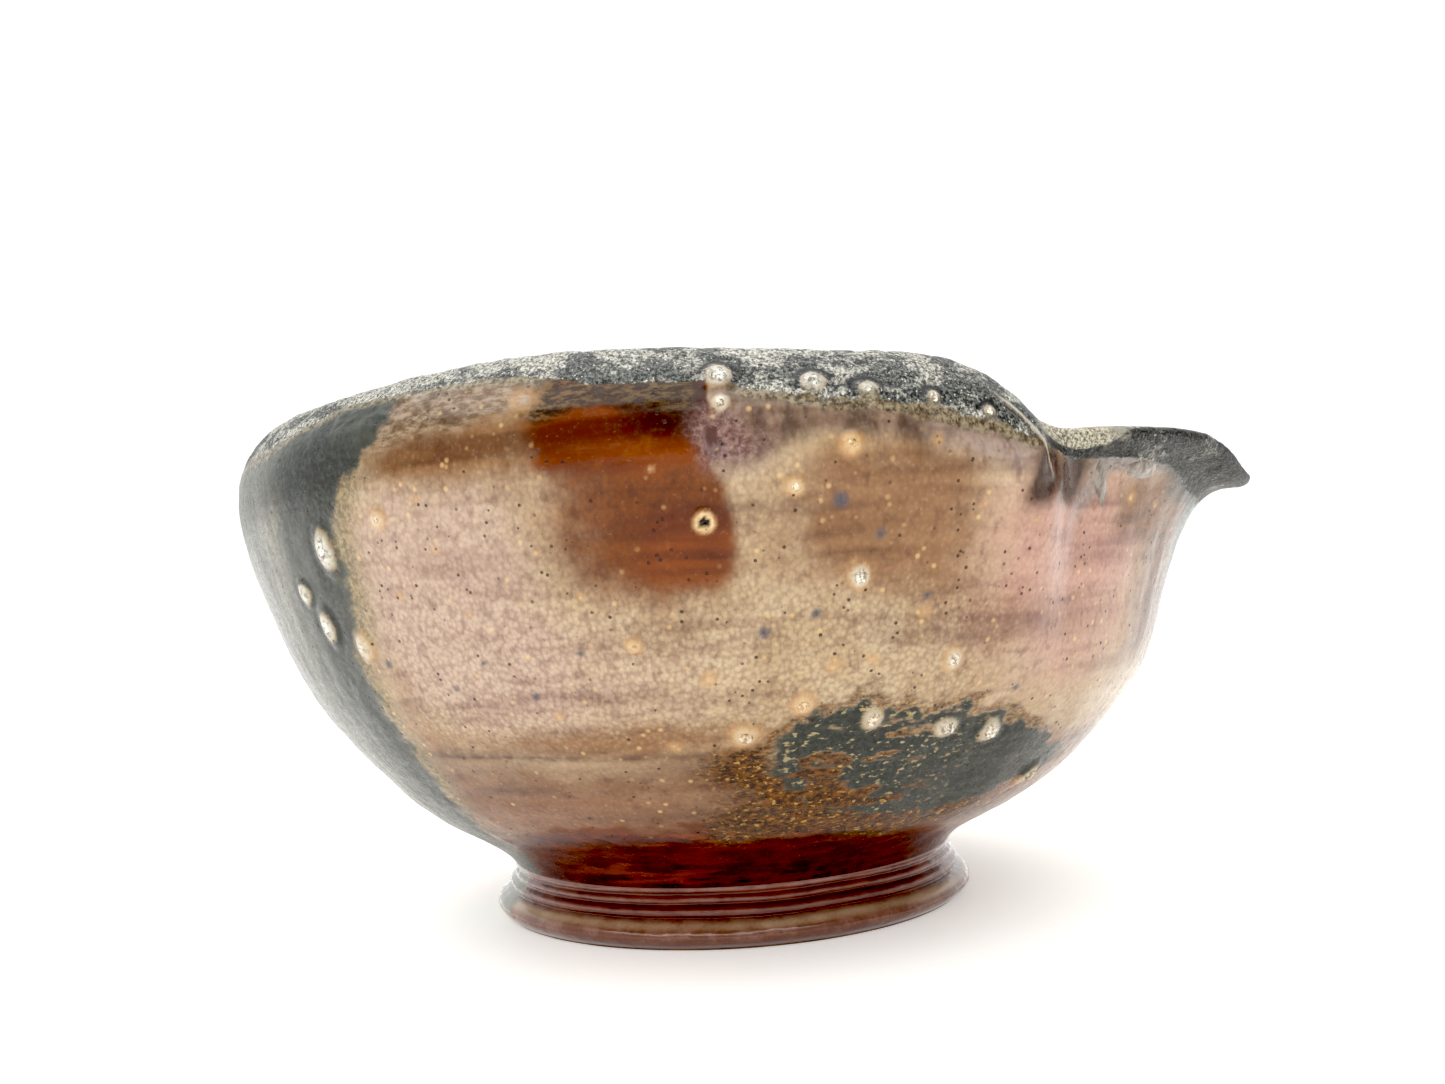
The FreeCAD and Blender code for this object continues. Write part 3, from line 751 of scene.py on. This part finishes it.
def foot_masks(place, level, degrees):
    """Amounts from 0 to 1 of the foot's colours, of its painted highlight and sheen and of its painted
    shade; level is the height above the uneven turning.
    """
    warp = noise(place, 6.0, 161, 3)
    # edge: a painted highlight along the top of the base band
    edge = bell(level, 2.75, 0.42) * np.clip(0.8 + 0.5 * warp, 0, 1)
    ash = (1 - ease(-137, -129, degrees + 5 * warp)) * ease(-178, -165, degrees)
    masks = {"band": 1 - ease(3.1, 3.5, level),
             # paler ridge crests: glaze breaking thin over them, and a painted sheen on them
             "ridge_break_and_sheen": sum(bell(level, middle, 0.26) for middle in FOOT_RIDGES),
             "edge": edge,
             "ash": np.maximum(ash, patches("foot_ash", degrees, level)),
             # low: painted shade darkening the bottom of the base band
             "low": ease(2.5, 0.3, level)}
    return {key: np.clip(values, 0, 1) for key, values in masks.items()}


def ball_directions(rows, columns):
    """Unit vectors of a ball's grid and its faces, with the poles along Z."""
    tilt = np.linspace(0.02, math.pi - 0.02, rows)
    turn = np.linspace(0, 2 * math.pi, columns, endpoint=False)
    t, p = np.meshgrid(turn, tilt[::-1], indexing="ij")
    directions = np.stack([np.sin(p) * np.cos(t), np.sin(p) * np.sin(t), np.cos(p)], -1)
    return directions, grid_faces(columns, rows, True)


def lumps(places, rows, columns, seed, roughness):
    """One mesh of flattened uneven balls.

    Each place is (point, normal, up, side, wide, tall, thick, depth).
    """
    ball, faces = ball_directions(rows, columns)
    all_points, all_faces, start = [], [], 0
    for index, (middle, normal, up, side, wide, tall, thick, depth) in enumerate(places):
        shape = 1 + roughness * noise(ball * 1.6 + 17.0 * index, 1.0, seed, 3)[..., None]
        local = ball * shape * [wide, tall, thick]
        points = middle - normal * depth + local @ np.array([side, up, normal])
        all_points.append(points.reshape(-1, 3))
        all_faces.append(faces + start)
        start += len(all_points[-1])
    return np.concatenate(all_points), np.concatenate(all_faces)


def make_stones(material):
    """The bare middles of the feldspar grains, set a little into the glaze."""
    places, white = [], []
    for degrees, v, radius, tall, bare in STONES:
        middle, normal, up, side = surface_place(degrees, v)
        wide = radius * (0.42 + 0.14 * bare)
        thick, depth = radius * 0.45, 0.06 * radius - 0.16
        places.append((middle, normal, up, side, wide, wide * tall, thick, depth))
        white.append(bare)
    points, faces = lumps(places, 20, 32, 181, 0.22)
    white = np.repeat(white, len(points) // len(white))
    piece = build_mesh("feldspar_grains", points, faces, masks={"white": white})
    dress(piece, material, "feldspar", "feldspar_stones")


def make_drips(material):
    """Runs of ash glass that lie nearly flush with the glaze, palest at the lip."""
    places, pale = [], []
    for degrees, v, wide, tall, thick, lean, proud in DRIPS:
        middle, normal, up, side = surface_place(degrees, v)
        up = up + lean * side
        up = up / np.linalg.norm(up)
        places.append((middle, normal, up, side, wide, tall, thick, thick - proud))
        pale.append(1.0 if abs(degrees) < 40 else 0.0)
    points, faces = lumps(places, 36, 40, 191, 0.14)
    pale = np.repeat(pale, len(points) // len(pale))
    piece = build_mesh("ash_runs", points, faces, masks={"pale": pale})
    dress(piece, material, "ash_glass", "ash_drips")


# ---------------------------------------------------------------- materials
def tint(red, green, blue):
    """A colour written in display values from 0 to 255, as linear light."""
    shares = [value / 255 for value in (red, green, blue)]
    linear = [s / 12.92 if s <= 0.04045 else ((s + 0.055) / 1.055) ** 2.4 for s in shares]
    return (*linear, 1.0)


class Nodes:
    """Short calls for one material's nodes, with colours as display values and lengths in mm."""

    def __init__(self, name):
        self.material = bpy.data.materials.new(name)
        self.material.use_nodes = True
        self.tree = self.material.node_tree
        self.shader = self.tree.nodes["Principled BSDF"]
        place = self.tree.nodes.new("ShaderNodeTexCoord")
        self.place = self.scaled(place.outputs["Object"], (1 / MM, 1 / MM, 1 / MM))

    def new(self, kind, **settings):
        node = self.tree.nodes.new(kind)
        for key, value in settings.items():
            setattr(node, key, value)
        return node

    def link(self, value, socket):
        """Feeds a socket with another node's output, a colour or a number."""
        if hasattr(value, "is_output"):
            self.tree.links.new(value, socket)
        else:
            socket.default_value = tint(*value) if isinstance(value, tuple) else value

    def scaled(self, vector, scale):
        node = self.new("ShaderNodeVectorMath", operation="MULTIPLY")
        self.link(vector, node.inputs[0])
        node.inputs[1].default_value = scale
        return node.outputs[0]

    def mask(self, name):
        return self.new("ShaderNodeAttribute", attribute_name=name).outputs["Fac"]

    def noise(self, scale, detail=3.0, stretch=(1, 1, 1), roughness=0.55):
        node = self.new("ShaderNodeTexNoise")
        self.link(self.scaled(self.place, stretch), node.inputs["Vector"])
        for key, number in (("Scale", scale), ("Detail", detail), ("Roughness", roughness)):
            node.inputs[key].default_value = number
        return node.outputs["Fac"]

    def cells(self, scale):
        """Distance to the nearest of many scattered points."""
        node = self.new("ShaderNodeTexVoronoi")
        self.link(self.place, node.inputs["Vector"])
        node.inputs["Scale"].default_value = scale
        return node.outputs["Distance"]

    def ramp(self, value, low, high, bottom=0.0, top=1.0):
        node = self.new("ShaderNodeMapRange", interpolation_type="SMOOTHSTEP")
        self.link(value, node.inputs["Value"])
        settings = {"From Min": low, "From Max": high, "To Min": bottom, "To Max": top}
        for key, number in settings.items():
            node.inputs[key].default_value = number
        return node.outputs["Result"]

    def math(self, operation, a, b, clamp=False):
        node = self.new("ShaderNodeMath", operation=operation, use_clamp=clamp)
        self.link(a, node.inputs[0])
        self.link(b, node.inputs[1])
        return node.outputs[0]

    def times(self, a, b):
        return self.math("MULTIPLY", a, b)

    def plus(self, a, b):
        return self.math("ADD", a, b)

    def shifted(self, value, grain, amount):
        """A value moved up and down by a grain."""
        return self.plus(value, self.times(self.math("SUBTRACT", grain, 0.5), amount))

    def mix(self, share, a, b, kind="MIX"):
        node = self.new("ShaderNodeMix", data_type="RGBA", blend_type=kind)
        for value, socket in ((share, 0), (a, 6), (b, 7)):
            self.link(value, node.inputs[socket])
        return node.outputs[2]

    def shades(self, value, low, high, first, second):
        """The first colour where the value is low, and the second where it is high."""
        return self.mix(self.ramp(value, low, high), first, second)

    def layer(self, base, colour, name, grain, amount, soft, share=1.0):
        """Lays a colour over the base by a mask, with the mask's soft edge broken up by a grain."""
        mask = self.mask(name) if share == 1.0 else self.times(self.mask(name), share)
        shifted = self.shifted(mask, grain, amount * 2)
        return self.mix(self.ramp(shifted, 0.5 - soft, 0.5 + soft), base, colour)

    def wash(self, base, colour, name, share=1.0):
        """Lays a colour over the base by a mask as it is."""
        mask = self.mask(name) if share == 1.0 else self.times(self.mask(name), share)
        return self.mix(mask, base, colour)

    def bump(self, height, distance, strength=1.0, under=None):
        node = self.new("ShaderNodeBump")
        node.inputs["Strength"].default_value = strength
        node.inputs["Distance"].default_value = distance * MM
        self.link(height, node.inputs["Height"])
        if under is not None:
            self.link(under, node.inputs["Normal"])
        return node.outputs["Normal"]

    def finish(self, colour, roughness, normal=None, specular=0.5, coat=0.0):
        self.link(colour, self.shader.inputs["Base Color"])
        self.link(roughness, self.shader.inputs["Roughness"])
        self.shader.inputs["Specular IOR Level"].default_value = specular
        self.shader.inputs["Coat Weight"].default_value = coat
        self.shader.inputs["Coat Roughness"].default_value = 0.06
        if normal is not None:
            self.link(normal, self.shader.inputs["Normal"])
        return self.material


def glaze_material(name):
    """The whole run of wall glazes: shino-like tan and pink, amber, ash, and the crusted rim."""
    n = Nodes(name)
    grain = n.noise(1.9, 5.0, roughness=0.66)
    patchy = n.noise(0.42, 4.0)
    base = glaze_ground(n, grain, patchy)
    base = glaze_amber(n, base, grain, patchy)
    base = glaze_mist(n, base, patchy)
    base = glaze_ash(n, base, grain, patchy)
    base, pits = glaze_spots(n, base, grain)
    base, crust = glaze_crust(n, base, grain)
    rough = n.plus(n.ramp(grain, 0.3, 0.7, 0.15, 0.28), n.times(crust, 0.20))
    rough = n.plus(rough, n.times(n.mask("ash"), 0.08))
    skin = n.bump(n.noise(1.1, 2.0), 0.05, 0.6)
    skin = n.bump(n.times(n.noise(4.0, 3.0), n.ramp(crust, 0, 1, 0.10, 1.0)), 0.14, 0.8, skin)
    skin = n.bump(n.times(pits, -1.0), 0.08, 1.0, skin)
    return n.finish(base, rough, skin, specular=0.4)


def glaze_ground(n, grain, patchy):
    """Tan and pink ground, browner low down partly as glaze and partly as painted shade, painted shade
    on the front near the lip, throwing streaks, and smoke under the rim.
    """
    streak = n.mask("streak")
    tan = n.shades(n.noise(0.16, 3.0), 0.35, 0.65, (175, 151, 118), (186, 165, 134))
    base = n.layer(tan, (183, 159, 140), "pink", patchy, 0.3, 0.45)
    base = n.layer(base, n.mix(streak, (168, 128, 112), (196, 156, 138)), "rose", patchy, 0.2, 0.5)
    # browner glaze with painted shade, low on the wall
    base = n.wash(base, n.mix(streak, (96, 61, 40), (138, 96, 70)), "low", 0.9)
    ochre = n.mix(streak, (116, 80, 50), (152, 114, 80))
    base = n.layer(base, ochre, "ochre", patchy, 0.22, 0.45, 0.95)
    # painted shade over the front near the lip
    base = n.wash(base, n.mix(grain, (88, 60, 42), (124, 90, 68)), "painted_shade", 0.95)
    base = n.layer(base, n.mix(streak, (108, 74, 46), (144, 106, 72)), "brown", patchy, 0.25, 0.5)
    haze = n.noise(0.6, 3.0, (1, 1, 0.4))
    smoke = n.shades(haze, 0.34, 0.66, (96, 80, 68), (142, 120, 102))
    smoke = n.wash(smoke, (168, 150, 138), "lilac", 0.8)
    base = n.layer(base, smoke, "smoke", patchy, 0.2, 0.5)
    base = n.mix(n.ramp(streak, 0.52, 0.10, 0, 0.55), base, (196, 176, 178), "MULTIPLY")
    base = glaze_network(n, base, patchy)
    groove = n.times(n.mask("groove"), n.ramp(patchy, 0.36, 0.55, 0.35, 0.95))
    return n.mix(groove, base, (86, 62, 50))


def glaze_network(n, base, patchy):
    """Pale cells under a millimetre wide, with dark veins that run together into short hairs."""
    hair = n.noise(1.5, 4.0, (1.5, 1.5, 0.5), 0.62)
    net = n.shifted(n.cells(1.8), hair, 1.5)
    crackle = n.mask("crackle")
    veins = n.times(n.ramp(net, 0.30, 0.90, 0, 0.42), n.ramp(crackle, 0, 1, 0.45, 1.0))
    base = n.mix(veins, base, (158, 132, 134), "MULTIPLY")
    pale = n.times(n.ramp(net, 0.36, 0.02, 0, 0.22), n.ramp(patchy, 0.62, 0.40, 0.2, 1.0))
    base = n.mix(n.times(pale, n.ramp(crackle, 0, 1, 0.35, 1.0)), base, (226, 202, 172))
    blotch = n.noise(0.75, 3.0, (1, 1, 0.8))
    return n.mix(n.ramp(blotch, 0.50, 0.72, 0, 0.5), base, (186, 168, 172), "MULTIPLY")


def glaze_amber(n, base, grain, patchy):
    """Amber glass over the ground, a violet skin beside it, and dark red glaze near the foot."""
    streak = n.mask("streak")
    veil = n.ramp(n.shifted(n.mask("veil"), patchy, 0.30), 0.0, 0.9)
    base = n.mix(veil, base, n.mix(streak, (132, 72, 16), (170, 108, 42)), "MULTIPLY")
    amber = n.shades(streak, 0.2, 0.8, (84, 30, 0), (118, 54, 2))
    amber = n.mix(n.ramp(patchy, 0.55, 0.75, 0, 0.6), amber, (140, 78, 8))
    thick = n.shifted(n.shifted(n.mask("amber"), patchy, 0.35), grain, 0.25)
    base = n.mix(n.ramp(thick, 0.05, 0.95), base, amber)
    burnt = n.shifted(n.shifted(n.mask("burnt"), patchy, 0.4), streak, -0.3)
    base = n.mix(n.ramp(burnt, 0.0, 0.95, 0, 0.92), base, (40, 10, 0))
    violet = n.shades(grain, 0.35, 0.65, (96, 66, 60), (142, 116, 110))
    base = n.layer(base, violet, "violet", patchy, 0.2, 0.5)
    red = n.shifted(n.mask("mahogany"), patchy, 0.3)
    base = n.mix(n.ramp(red, 0.05, 0.50), base, n.mix(streak, (84, 38, 10), (122, 66, 24)))
    deep = n.shades(patchy, 0.4, 0.66, (52, 4, 0), (82, 18, 0))
    glow = n.ramp(n.noise(0.35, 4.0, (0.5, 0.5, 3.0)), 0.45, 0.62, 0, 0.85)
    deep = n.mix(n.times(glow, n.ramp(n.mask("rust"), 0, 1, 0.4, 1.0)), deep, (132, 64, 16))
    return n.mix(n.ramp(red, 0.30, 0.90), base, deep)


def glaze_mist(n, base, patchy):
    """A thin fibrous skin of ash just under the rim, browner where it lies over the amber."""
    fibre = n.noise(1.5, 5.0, (0.45, 0.45, 1.2), 0.7)
    over_tan = n.shades(fibre, 0.34, 0.64, (156, 136, 114), (98, 76, 54))
    over_tan = n.mix(n.ramp(patchy, 0.50, 0.64, 0, 0.7), over_tan, (78, 56, 38))
    over_amber = n.shades(fibre, 0.38, 0.56, (104, 82, 46), (44, 24, 6))
    mist = n.mix(n.mask("amber"), over_tan, over_amber)
    return n.layer(base, mist, "mist", fibre, 0.4, 0.4)


def glaze_ash(n, base, grain, patchy):
    """Grey-green ash with dark veins, and gold-brown grains where it thins out."""
    drawn = n.noise(2.0, 5.0, (0.6, 0.6, 1.2), 0.68)
    gold = n.shades(drawn, 0.34, 0.62, (118, 70, 8), (38, 17, 0))
    glints = n.noise(2.3, 3.0, (0.6, 0.6, 1))
    gold = n.mix(n.ramp(glints, 0.42, 0.32, 0, 0.8), gold, (186, 144, 70))
    gold = n.mix(n.ramp(grain, 0.58, 0.68, 0, 0.6), gold, (34, 26, 18))
    base = n.layer(base, gold, "gold", drawn, 0.40, 0.42, 0.95)
    moss = n.shades(grain, 0.32, 0.64, (160, 138, 100), (100, 92, 72))
    base = n.layer(base, moss, "moss", grain, 0.35, 0.5, 0.9)
    ash = n.shades(patchy, 0.35, 0.65, (50, 54, 49), (74, 77, 69))
    ash = n.wash(ash, (98, 98, 88), "ash_pale", 0.8)
    ash = n.mix(n.ramp(grain, 0.48, 0.68, 0, 0.6), ash, (44, 47, 44))
    dark_ash = n.shades(grain, 0.3, 0.66, (66, 70, 64), (22, 24, 23))
    ash = n.layer(ash, dark_ash, "ash_dark", patchy, 0.3, 0.5, 0.9)
    flecks = n.ramp(n.noise(2.0, 3.0, (0.5, 0.5, 1)), 0.42, 0.34)
    ash = n.mix(n.times(flecks, n.mask("fleck")), ash, (158, 142, 104))
    return n.layer(base, ash, "ash", drawn, 0.40, 0.30)


def glaze_spots(n, base, grain):
    """Stone halos, cream spots, blue-grey specks, dents, gold freckles and black pits."""
    halo = n.mix(grain, (206, 164, 112), (156, 112, 74))
    base = n.layer(base, halo, "halo", grain, 0.4, 0.5, 0.75)
    bare = n.shades(grain, 0.38, 0.66, (212, 208, 196), (128, 122, 108))
    cream = n.mix(n.mask("white"), (218, 190, 144), bare)
    base = n.layer(base, cream, "cream", grain, 0.45, 0.40)
    specks = n.times(n.mask("speck"), n.ramp(grain, 0.3, 0.6, 0.6, 1.0))
    base = n.mix(specks, base, (74, 73, 84))
    smear = n.shades(grain, 0.3, 0.7, (160, 150, 146), (116, 104, 96))
    base = n.wash(base, smear, "smear", 0.8)
    base = n.wash(base, n.shades(grain, 0.35, 0.65, (40, 20, 8), (78, 46, 26)), "dent")
    covered = n.plus(n.mask("amber"), n.plus(n.mask("mahogany"), n.mask("dent")))
    calm = n.math("SUBTRACT", 1.0, n.plus(covered, n.mask("ash")), True)
    golden = n.ramp(n.noise(0.16, 3.0), 0.60, 0.42, 0.05, 0.5)
    golden = n.times(n.ramp(n.cells(0.5), 0.20, 0.05), golden)
    base = n.mix(n.times(golden, calm), base, (228, 190, 130))
    dotted = n.ramp(n.noise(0.3, 2.0), 0.50, 0.60)
    dotted = n.math("ADD", dotted, n.times(n.mask("dots"), 0.9), True)
    pits = n.times(n.ramp(n.cells(0.9), 0.20, 0.11), dotted)
    return n.mix(n.times(pits, 0.85), base, (50, 28, 26)), pits


def glaze_crust(n, base, grain):
    """The black, grey and bone-white ash crust of the rim and lip, with painted highlights on the rim
    and on the fold's ridge.
    """
    salt = n.noise(3.4, 4.0, roughness=0.68)
    clot = n.noise(1.3, 4.0)
    black = n.shades(salt, 0.40, 0.62, (20, 22, 23), (118, 120, 114))
    light = n.shades(salt, 0.38, 0.64, (92, 93, 87), (206, 203, 190))
    # pale crust, with painted highlights, laid over the black
    crust = n.layer(black, light, "pale_crust_and_highlight", clot, 0.85, 0.24)
    crust = n.mix(n.ramp(n.cells(1.9), 0.22, 0.08, 0, 0.9), crust, (226, 224, 214))
    crust = n.mix(n.ramp(n.noise(2.2, 3.0), 0.46, 0.36, 0, 0.85), crust, (22, 24, 25))
    cream = n.shades(salt, 0.36, 0.62, (206, 198, 174), (92, 90, 80))
    crust = n.layer(crust, cream, "lip_cream", salt, 0.3, 0.4)
    soot = n.shades(salt, 0.45, 0.68, (6, 6, 6), (92, 92, 86))
    crust = n.layer(crust, soot, "soot", clot, 0.6, 0.3)
    crust = n.wash(crust, (16, 16, 17), "ring")
    fringe = n.shades(grain, 0.36, 0.64, (150, 138, 112), (60, 50, 38))
    base = n.layer(base, fringe, "fringe", clot, 0.3, 0.5, 0.8)
    share = n.ramp(n.shifted(n.mask("crust"), clot, 1.0), 0.3, 0.7)
    share = n.times(share, n.ramp(n.mask("cream"), 0.3, 0.6, 1.0, 0.15))
    base = n.mix(share, base, crust)
    base = n.wash(base, (62, 36, 22), "fold_dark", 0.8)
    # pale glaze with painted highlight along the fold's ridge
    base = n.wash(base, (206, 198, 178), "fold_pale_and_highlight", 0.85)
    return n.wash(base, (14, 8, 5), "hole"), share


def foot_material():
    """Thin glossy dark red glaze over turned ridges, paler on their crests where the glaze breaks thin
    and as painted sheen, with a mauve-brown band at the base that has a painted highlight along its top
    and painted shade at its bottom.
    """
    n = Nodes("foot_glaze_fired")
    grain = n.noise(2.6, 4.0)
    streak = n.noise(1.2, 3.0, (0.15, 0.15, 1))
    patchy = n.noise(0.35, 3.0)
    dark = n.shades(streak, 0.42, 0.68, (84, 22, 4), (116, 50, 22))
    # paler ridge crests: glaze breaking thin, and painted sheen
    ridge_break_and_sheen = n.times(n.mask("ridge_break_and_sheen"), n.ramp(patchy, 0.3, 0.6, 0.25, 0.8))
    dark = n.mix(ridge_break_and_sheen, dark, (150, 98, 84))
    band = n.shades(patchy, 0.4, 0.62, (126, 76, 54), (156, 112, 92))
    band = n.mix(n.ramp(grain, 0.50, 0.70, 0, 0.5), band, (96, 40, 20))
    # painted shade at the bottom of the base band
    band = n.wash(band, (84, 34, 12), "low")
    colour = n.layer(dark, band, "band", grain, 0.15, 0.4)
    # painted highlight along the top of the base band
    colour = n.layer(colour, (206, 178, 146), "edge", grain, 0.25, 0.5, 0.9)
    ash = n.mix(grain, (92, 92, 78), (156, 148, 128))
    colour = n.layer(colour, ash, "ash", grain, 0.4, 0.3)
    skin = n.bump(n.noise(1.5, 3.0), 0.05, 0.6)
    return n.finish(colour, n.ramp(grain, 0.3, 0.7, 0.12, 0.24), skin, specular=0.6, coat=0.6)


def clay_material():
    """Bare iron-bearing stoneware: dark brown, matt, with sand and turning marks."""
    n = Nodes("bare_stoneware")
    grain = n.noise(3.5, 5.0)
    colour = n.shades(n.noise(0.25, 3.0), 0.35, 0.65, (96, 62, 46), (142, 98, 70))
    colour = n.mix(n.ramp(grain, 0.56, 0.7, 0, 0.7), colour, (60, 38, 30))
    sand = n.noise(6.0, 2.0)
    colour = n.mix(n.ramp(sand, 0.64, 0.72, 0, 0.8), colour, (196, 176, 146))
    skin = n.bump(grain, 0.12, 0.8)
    skin = n.bump(n.noise(0.9, 2.0, (0.1, 0.1, 1)), 0.15, 0.5, skin)
    return n.finish(colour, n.ramp(grain, 0.3, 0.7, 0.7, 0.9), skin, specular=0.3)


def stone_material():
    """Melted feldspar: white and glassy where it is bare, golden where glaze covers it."""
    n = Nodes("feldspar_melted")
    grain = n.noise(2.2, 4.0)
    bare = n.shades(grain, 0.44, 0.62, (232, 230, 220), (132, 126, 112))
    covered = n.shades(grain, 0.36, 0.6, (232, 204, 156), (190, 146, 90))
    colour = n.mix(n.mask("white"), covered, bare)
    colour = n.mix(n.ramp(n.noise(4.5, 3.0), 0.56, 0.68, 0, 0.8), colour, (104, 88, 70))
    return n.finish(colour, n.ramp(grain, 0.3, 0.7, 0.1, 0.3), n.bump(grain, 0.2, 0.9))


def drip_material():
    """Ash glass that ran: mauve-brown, and greyer at the lip."""
    n = Nodes("ash_glass_run")
    streak = n.noise(1.3, 4.0, (1, 1, 0.35))
    dull = n.shades(streak, 0.36, 0.62, (88, 62, 58), (120, 94, 88))
    clear = n.shades(streak, 0.36, 0.62, (104, 94, 84), (150, 140, 130))
    colour = n.mix(n.mask("pale"), dull, clear)
    colour = n.mix(n.ramp(n.noise(3.0, 3.0), 0.58, 0.72, 0, 0.5), colour, (96, 74, 62))
    skin = n.bump(n.noise(1.6, 2.0), 0.06, 0.5)
    return n.finish(colour, n.ramp(streak, 0.3, 0.7, 0.08, 0.2), skin)


# ---------------------------------------------------------------- studio
# the camera's place and aim: degrees about the bowl, degrees up, degrees of roll, then metres from
# the axis, beside it and above the floor, and the lens in millimetres on a 36 mm sensor
CAMERA_TURN = 18.7
CAMERA_PITCH = 1.2
CAMERA_ROLL = -3.3
CAMERA_AWAY = 0.195
CAMERA_ASIDE = 0.0011
CAMERA_HEIGHT = 0.044
SENSOR = 36.0
LENS = 34.88
NEAREST_SEEN = 0.01
# broad soft lights: name, degrees about the bowl, degrees above the floor, strength and spread
SUNS = [("skylight", -95.0, 80.0, 3.05, 90.0), ("front_fill", -80.0, 25.0, 1.0, 110.0)]
# the room's brightness on its dim side, on its bright side, and as the camera sees it behind
# the bowl; the dim side is this many degrees to the right of the camera
ROOM_DIM = 0.15
ROOM_BRIGHT = 1.08
ROOM_SEEN = 1.1
DIM_SIDE = 16.0
FLOOR_HALF = 3.0
FLOOR_GLOW = 0.4
BLACK_LEVEL = 0.035


def add_camera():
    data = bpy.data.cameras.new("camera")
    data.sensor_width = SENSOR
    data.lens = LENS
    data.clip_start = NEAREST_SEEN
    camera = bpy.data.objects.new("camera", data)
    turn = math.radians(CAMERA_TURN)
    right = Vector((math.cos(turn), math.sin(turn), 0))
    ahead = Vector((-math.sin(turn), math.cos(turn), 0))
    camera.location = CAMERA_ASIDE * right - CAMERA_AWAY * ahead + Vector((0, 0, CAMERA_HEIGHT))
    tilt = math.radians(90 + CAMERA_PITCH)
    facing = (Matrix.Rotation(turn, 4, "Z") @ Matrix.Rotation(tilt, 4, "X")
              @ Matrix.Rotation(math.radians(CAMERA_ROLL), 4, "Z"))
    camera.rotation_euler = facing.to_euler()
    bpy.context.scene.collection.objects.link(camera)
    bpy.context.scene.camera = camera


def add_floor():
    n = Nodes("pale_table")
    n.finish(n.mix(n.noise(0.05, 3.0), (240, 239, 236), (246, 245, 243)), 0.6, specular=0.3)
    n.shader.inputs["Emission Color"].default_value = (1.0, 0.99, 0.96, 1.0)
    n.shader.inputs["Emission Strength"].default_value = FLOOR_GLOW
    mesh = bpy.data.meshes.new("table")
    corners = [(x * FLOOR_HALF, y * FLOOR_HALF, 0) for x, y in ((-1, -1), (1, -1), (1, 1), (-1, 1))]
    mesh.from_pydata(corners, [], [(0, 1, 2, 3)])
    mesh.materials.append(n.material)
    table = bpy.data.objects.new("table", mesh)
    bpy.context.scene.collection.objects.link(table)


def add_sun(name, turn, rise, strength, spread):
    """A broad soft light from the angle turn about the bowl, rise above the floor, in degrees."""
    data = bpy.data.lights.new(name, "SUN")
    data.energy = strength
    data.angle = math.radians(spread)
    light = bpy.data.objects.new(name, data)
    turn, rise = math.radians(turn), math.radians(rise)
    flat = math.cos(rise)
    towards = Vector((flat * math.cos(turn), flat * math.sin(turn), math.sin(rise)))
    light.rotation_euler = towards.to_track_quat("Z", "Y").to_euler()
    bpy.context.scene.collection.objects.link(light)


def add_world():
    """A pale room that is dimmest to the right of the camera."""
    world = bpy.data.worlds.new("room")
    bpy.context.scene.world = world
    world.use_nodes = True
    tree = world.node_tree
    new, link = tree.nodes.new, tree.links.new
    place = new("ShaderNodeTexCoord")
    dot = new("ShaderNodeVectorMath")
    dot.operation = "DOT_PRODUCT"
    turn = math.radians(CAMERA_TURN + DIM_SIDE)
    dot.inputs[1].default_value = (math.sin(turn), -math.cos(turn), 0.15)
    link(place.outputs["Generated"], dot.inputs[0])
    front = new("ShaderNodeMapRange")
    front.interpolation_type = "SMOOTHSTEP"
    settings = {"From Min": -0.7, "From Max": 0.8, "To Min": ROOM_BRIGHT, "To Max": ROOM_DIM}
    for key, number in settings.items():
        front.inputs[key].default_value = number
    link(dot.outputs["Value"], front.inputs["Value"])
    seen = new("ShaderNodeLightPath")
    mix = new("ShaderNodeMix")
    mix.inputs[3].default_value = ROOM_SEEN
    link(seen.outputs["Is Camera Ray"], mix.inputs[0])
    link(front.outputs["Result"], mix.inputs[2])
    background = tree.nodes["Background"]
    background.inputs["Color"].default_value = (1, 1, 1, 1)
    link(mix.outputs[0], background.inputs["Strength"])


def add_studio():
    add_camera()
    add_floor()
    add_world()
    for sun in SUNS:
        add_sun(*sun)
    show = bpy.context.scene.view_settings
    show.view_transform = "Standard"
    show.use_curve_mapping = True
    show.curve_mapping.black_level = (BLACK_LEVEL,) * 3
    show.curve_mapping.update()


def build_bowl():
    outside = finished_grid(np.linspace(0, RIM_START, OUTER_ROWS))
    rim = finished_grid(np.linspace(RIM_START, RIM_END, RIM_ROWS))
    make_outer_glaze(outside, glaze_material("wall_glaze"))
    make_rim(rim, glaze_material("rim_ash_crust"))
    make_inner_glaze(glaze_material("inner_glaze_fired"))
    make_foot_glaze(foot_material())
    make_stones(stone_material())
    make_drips(drip_material())
    clay = clay_material()
    for name in ("bowl_body", "pouring_lip", "foot_ring"):
        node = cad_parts[name]
        node.data.materials.clear()
        node.data.materials.append(clay)


build_bowl()
add_studio()
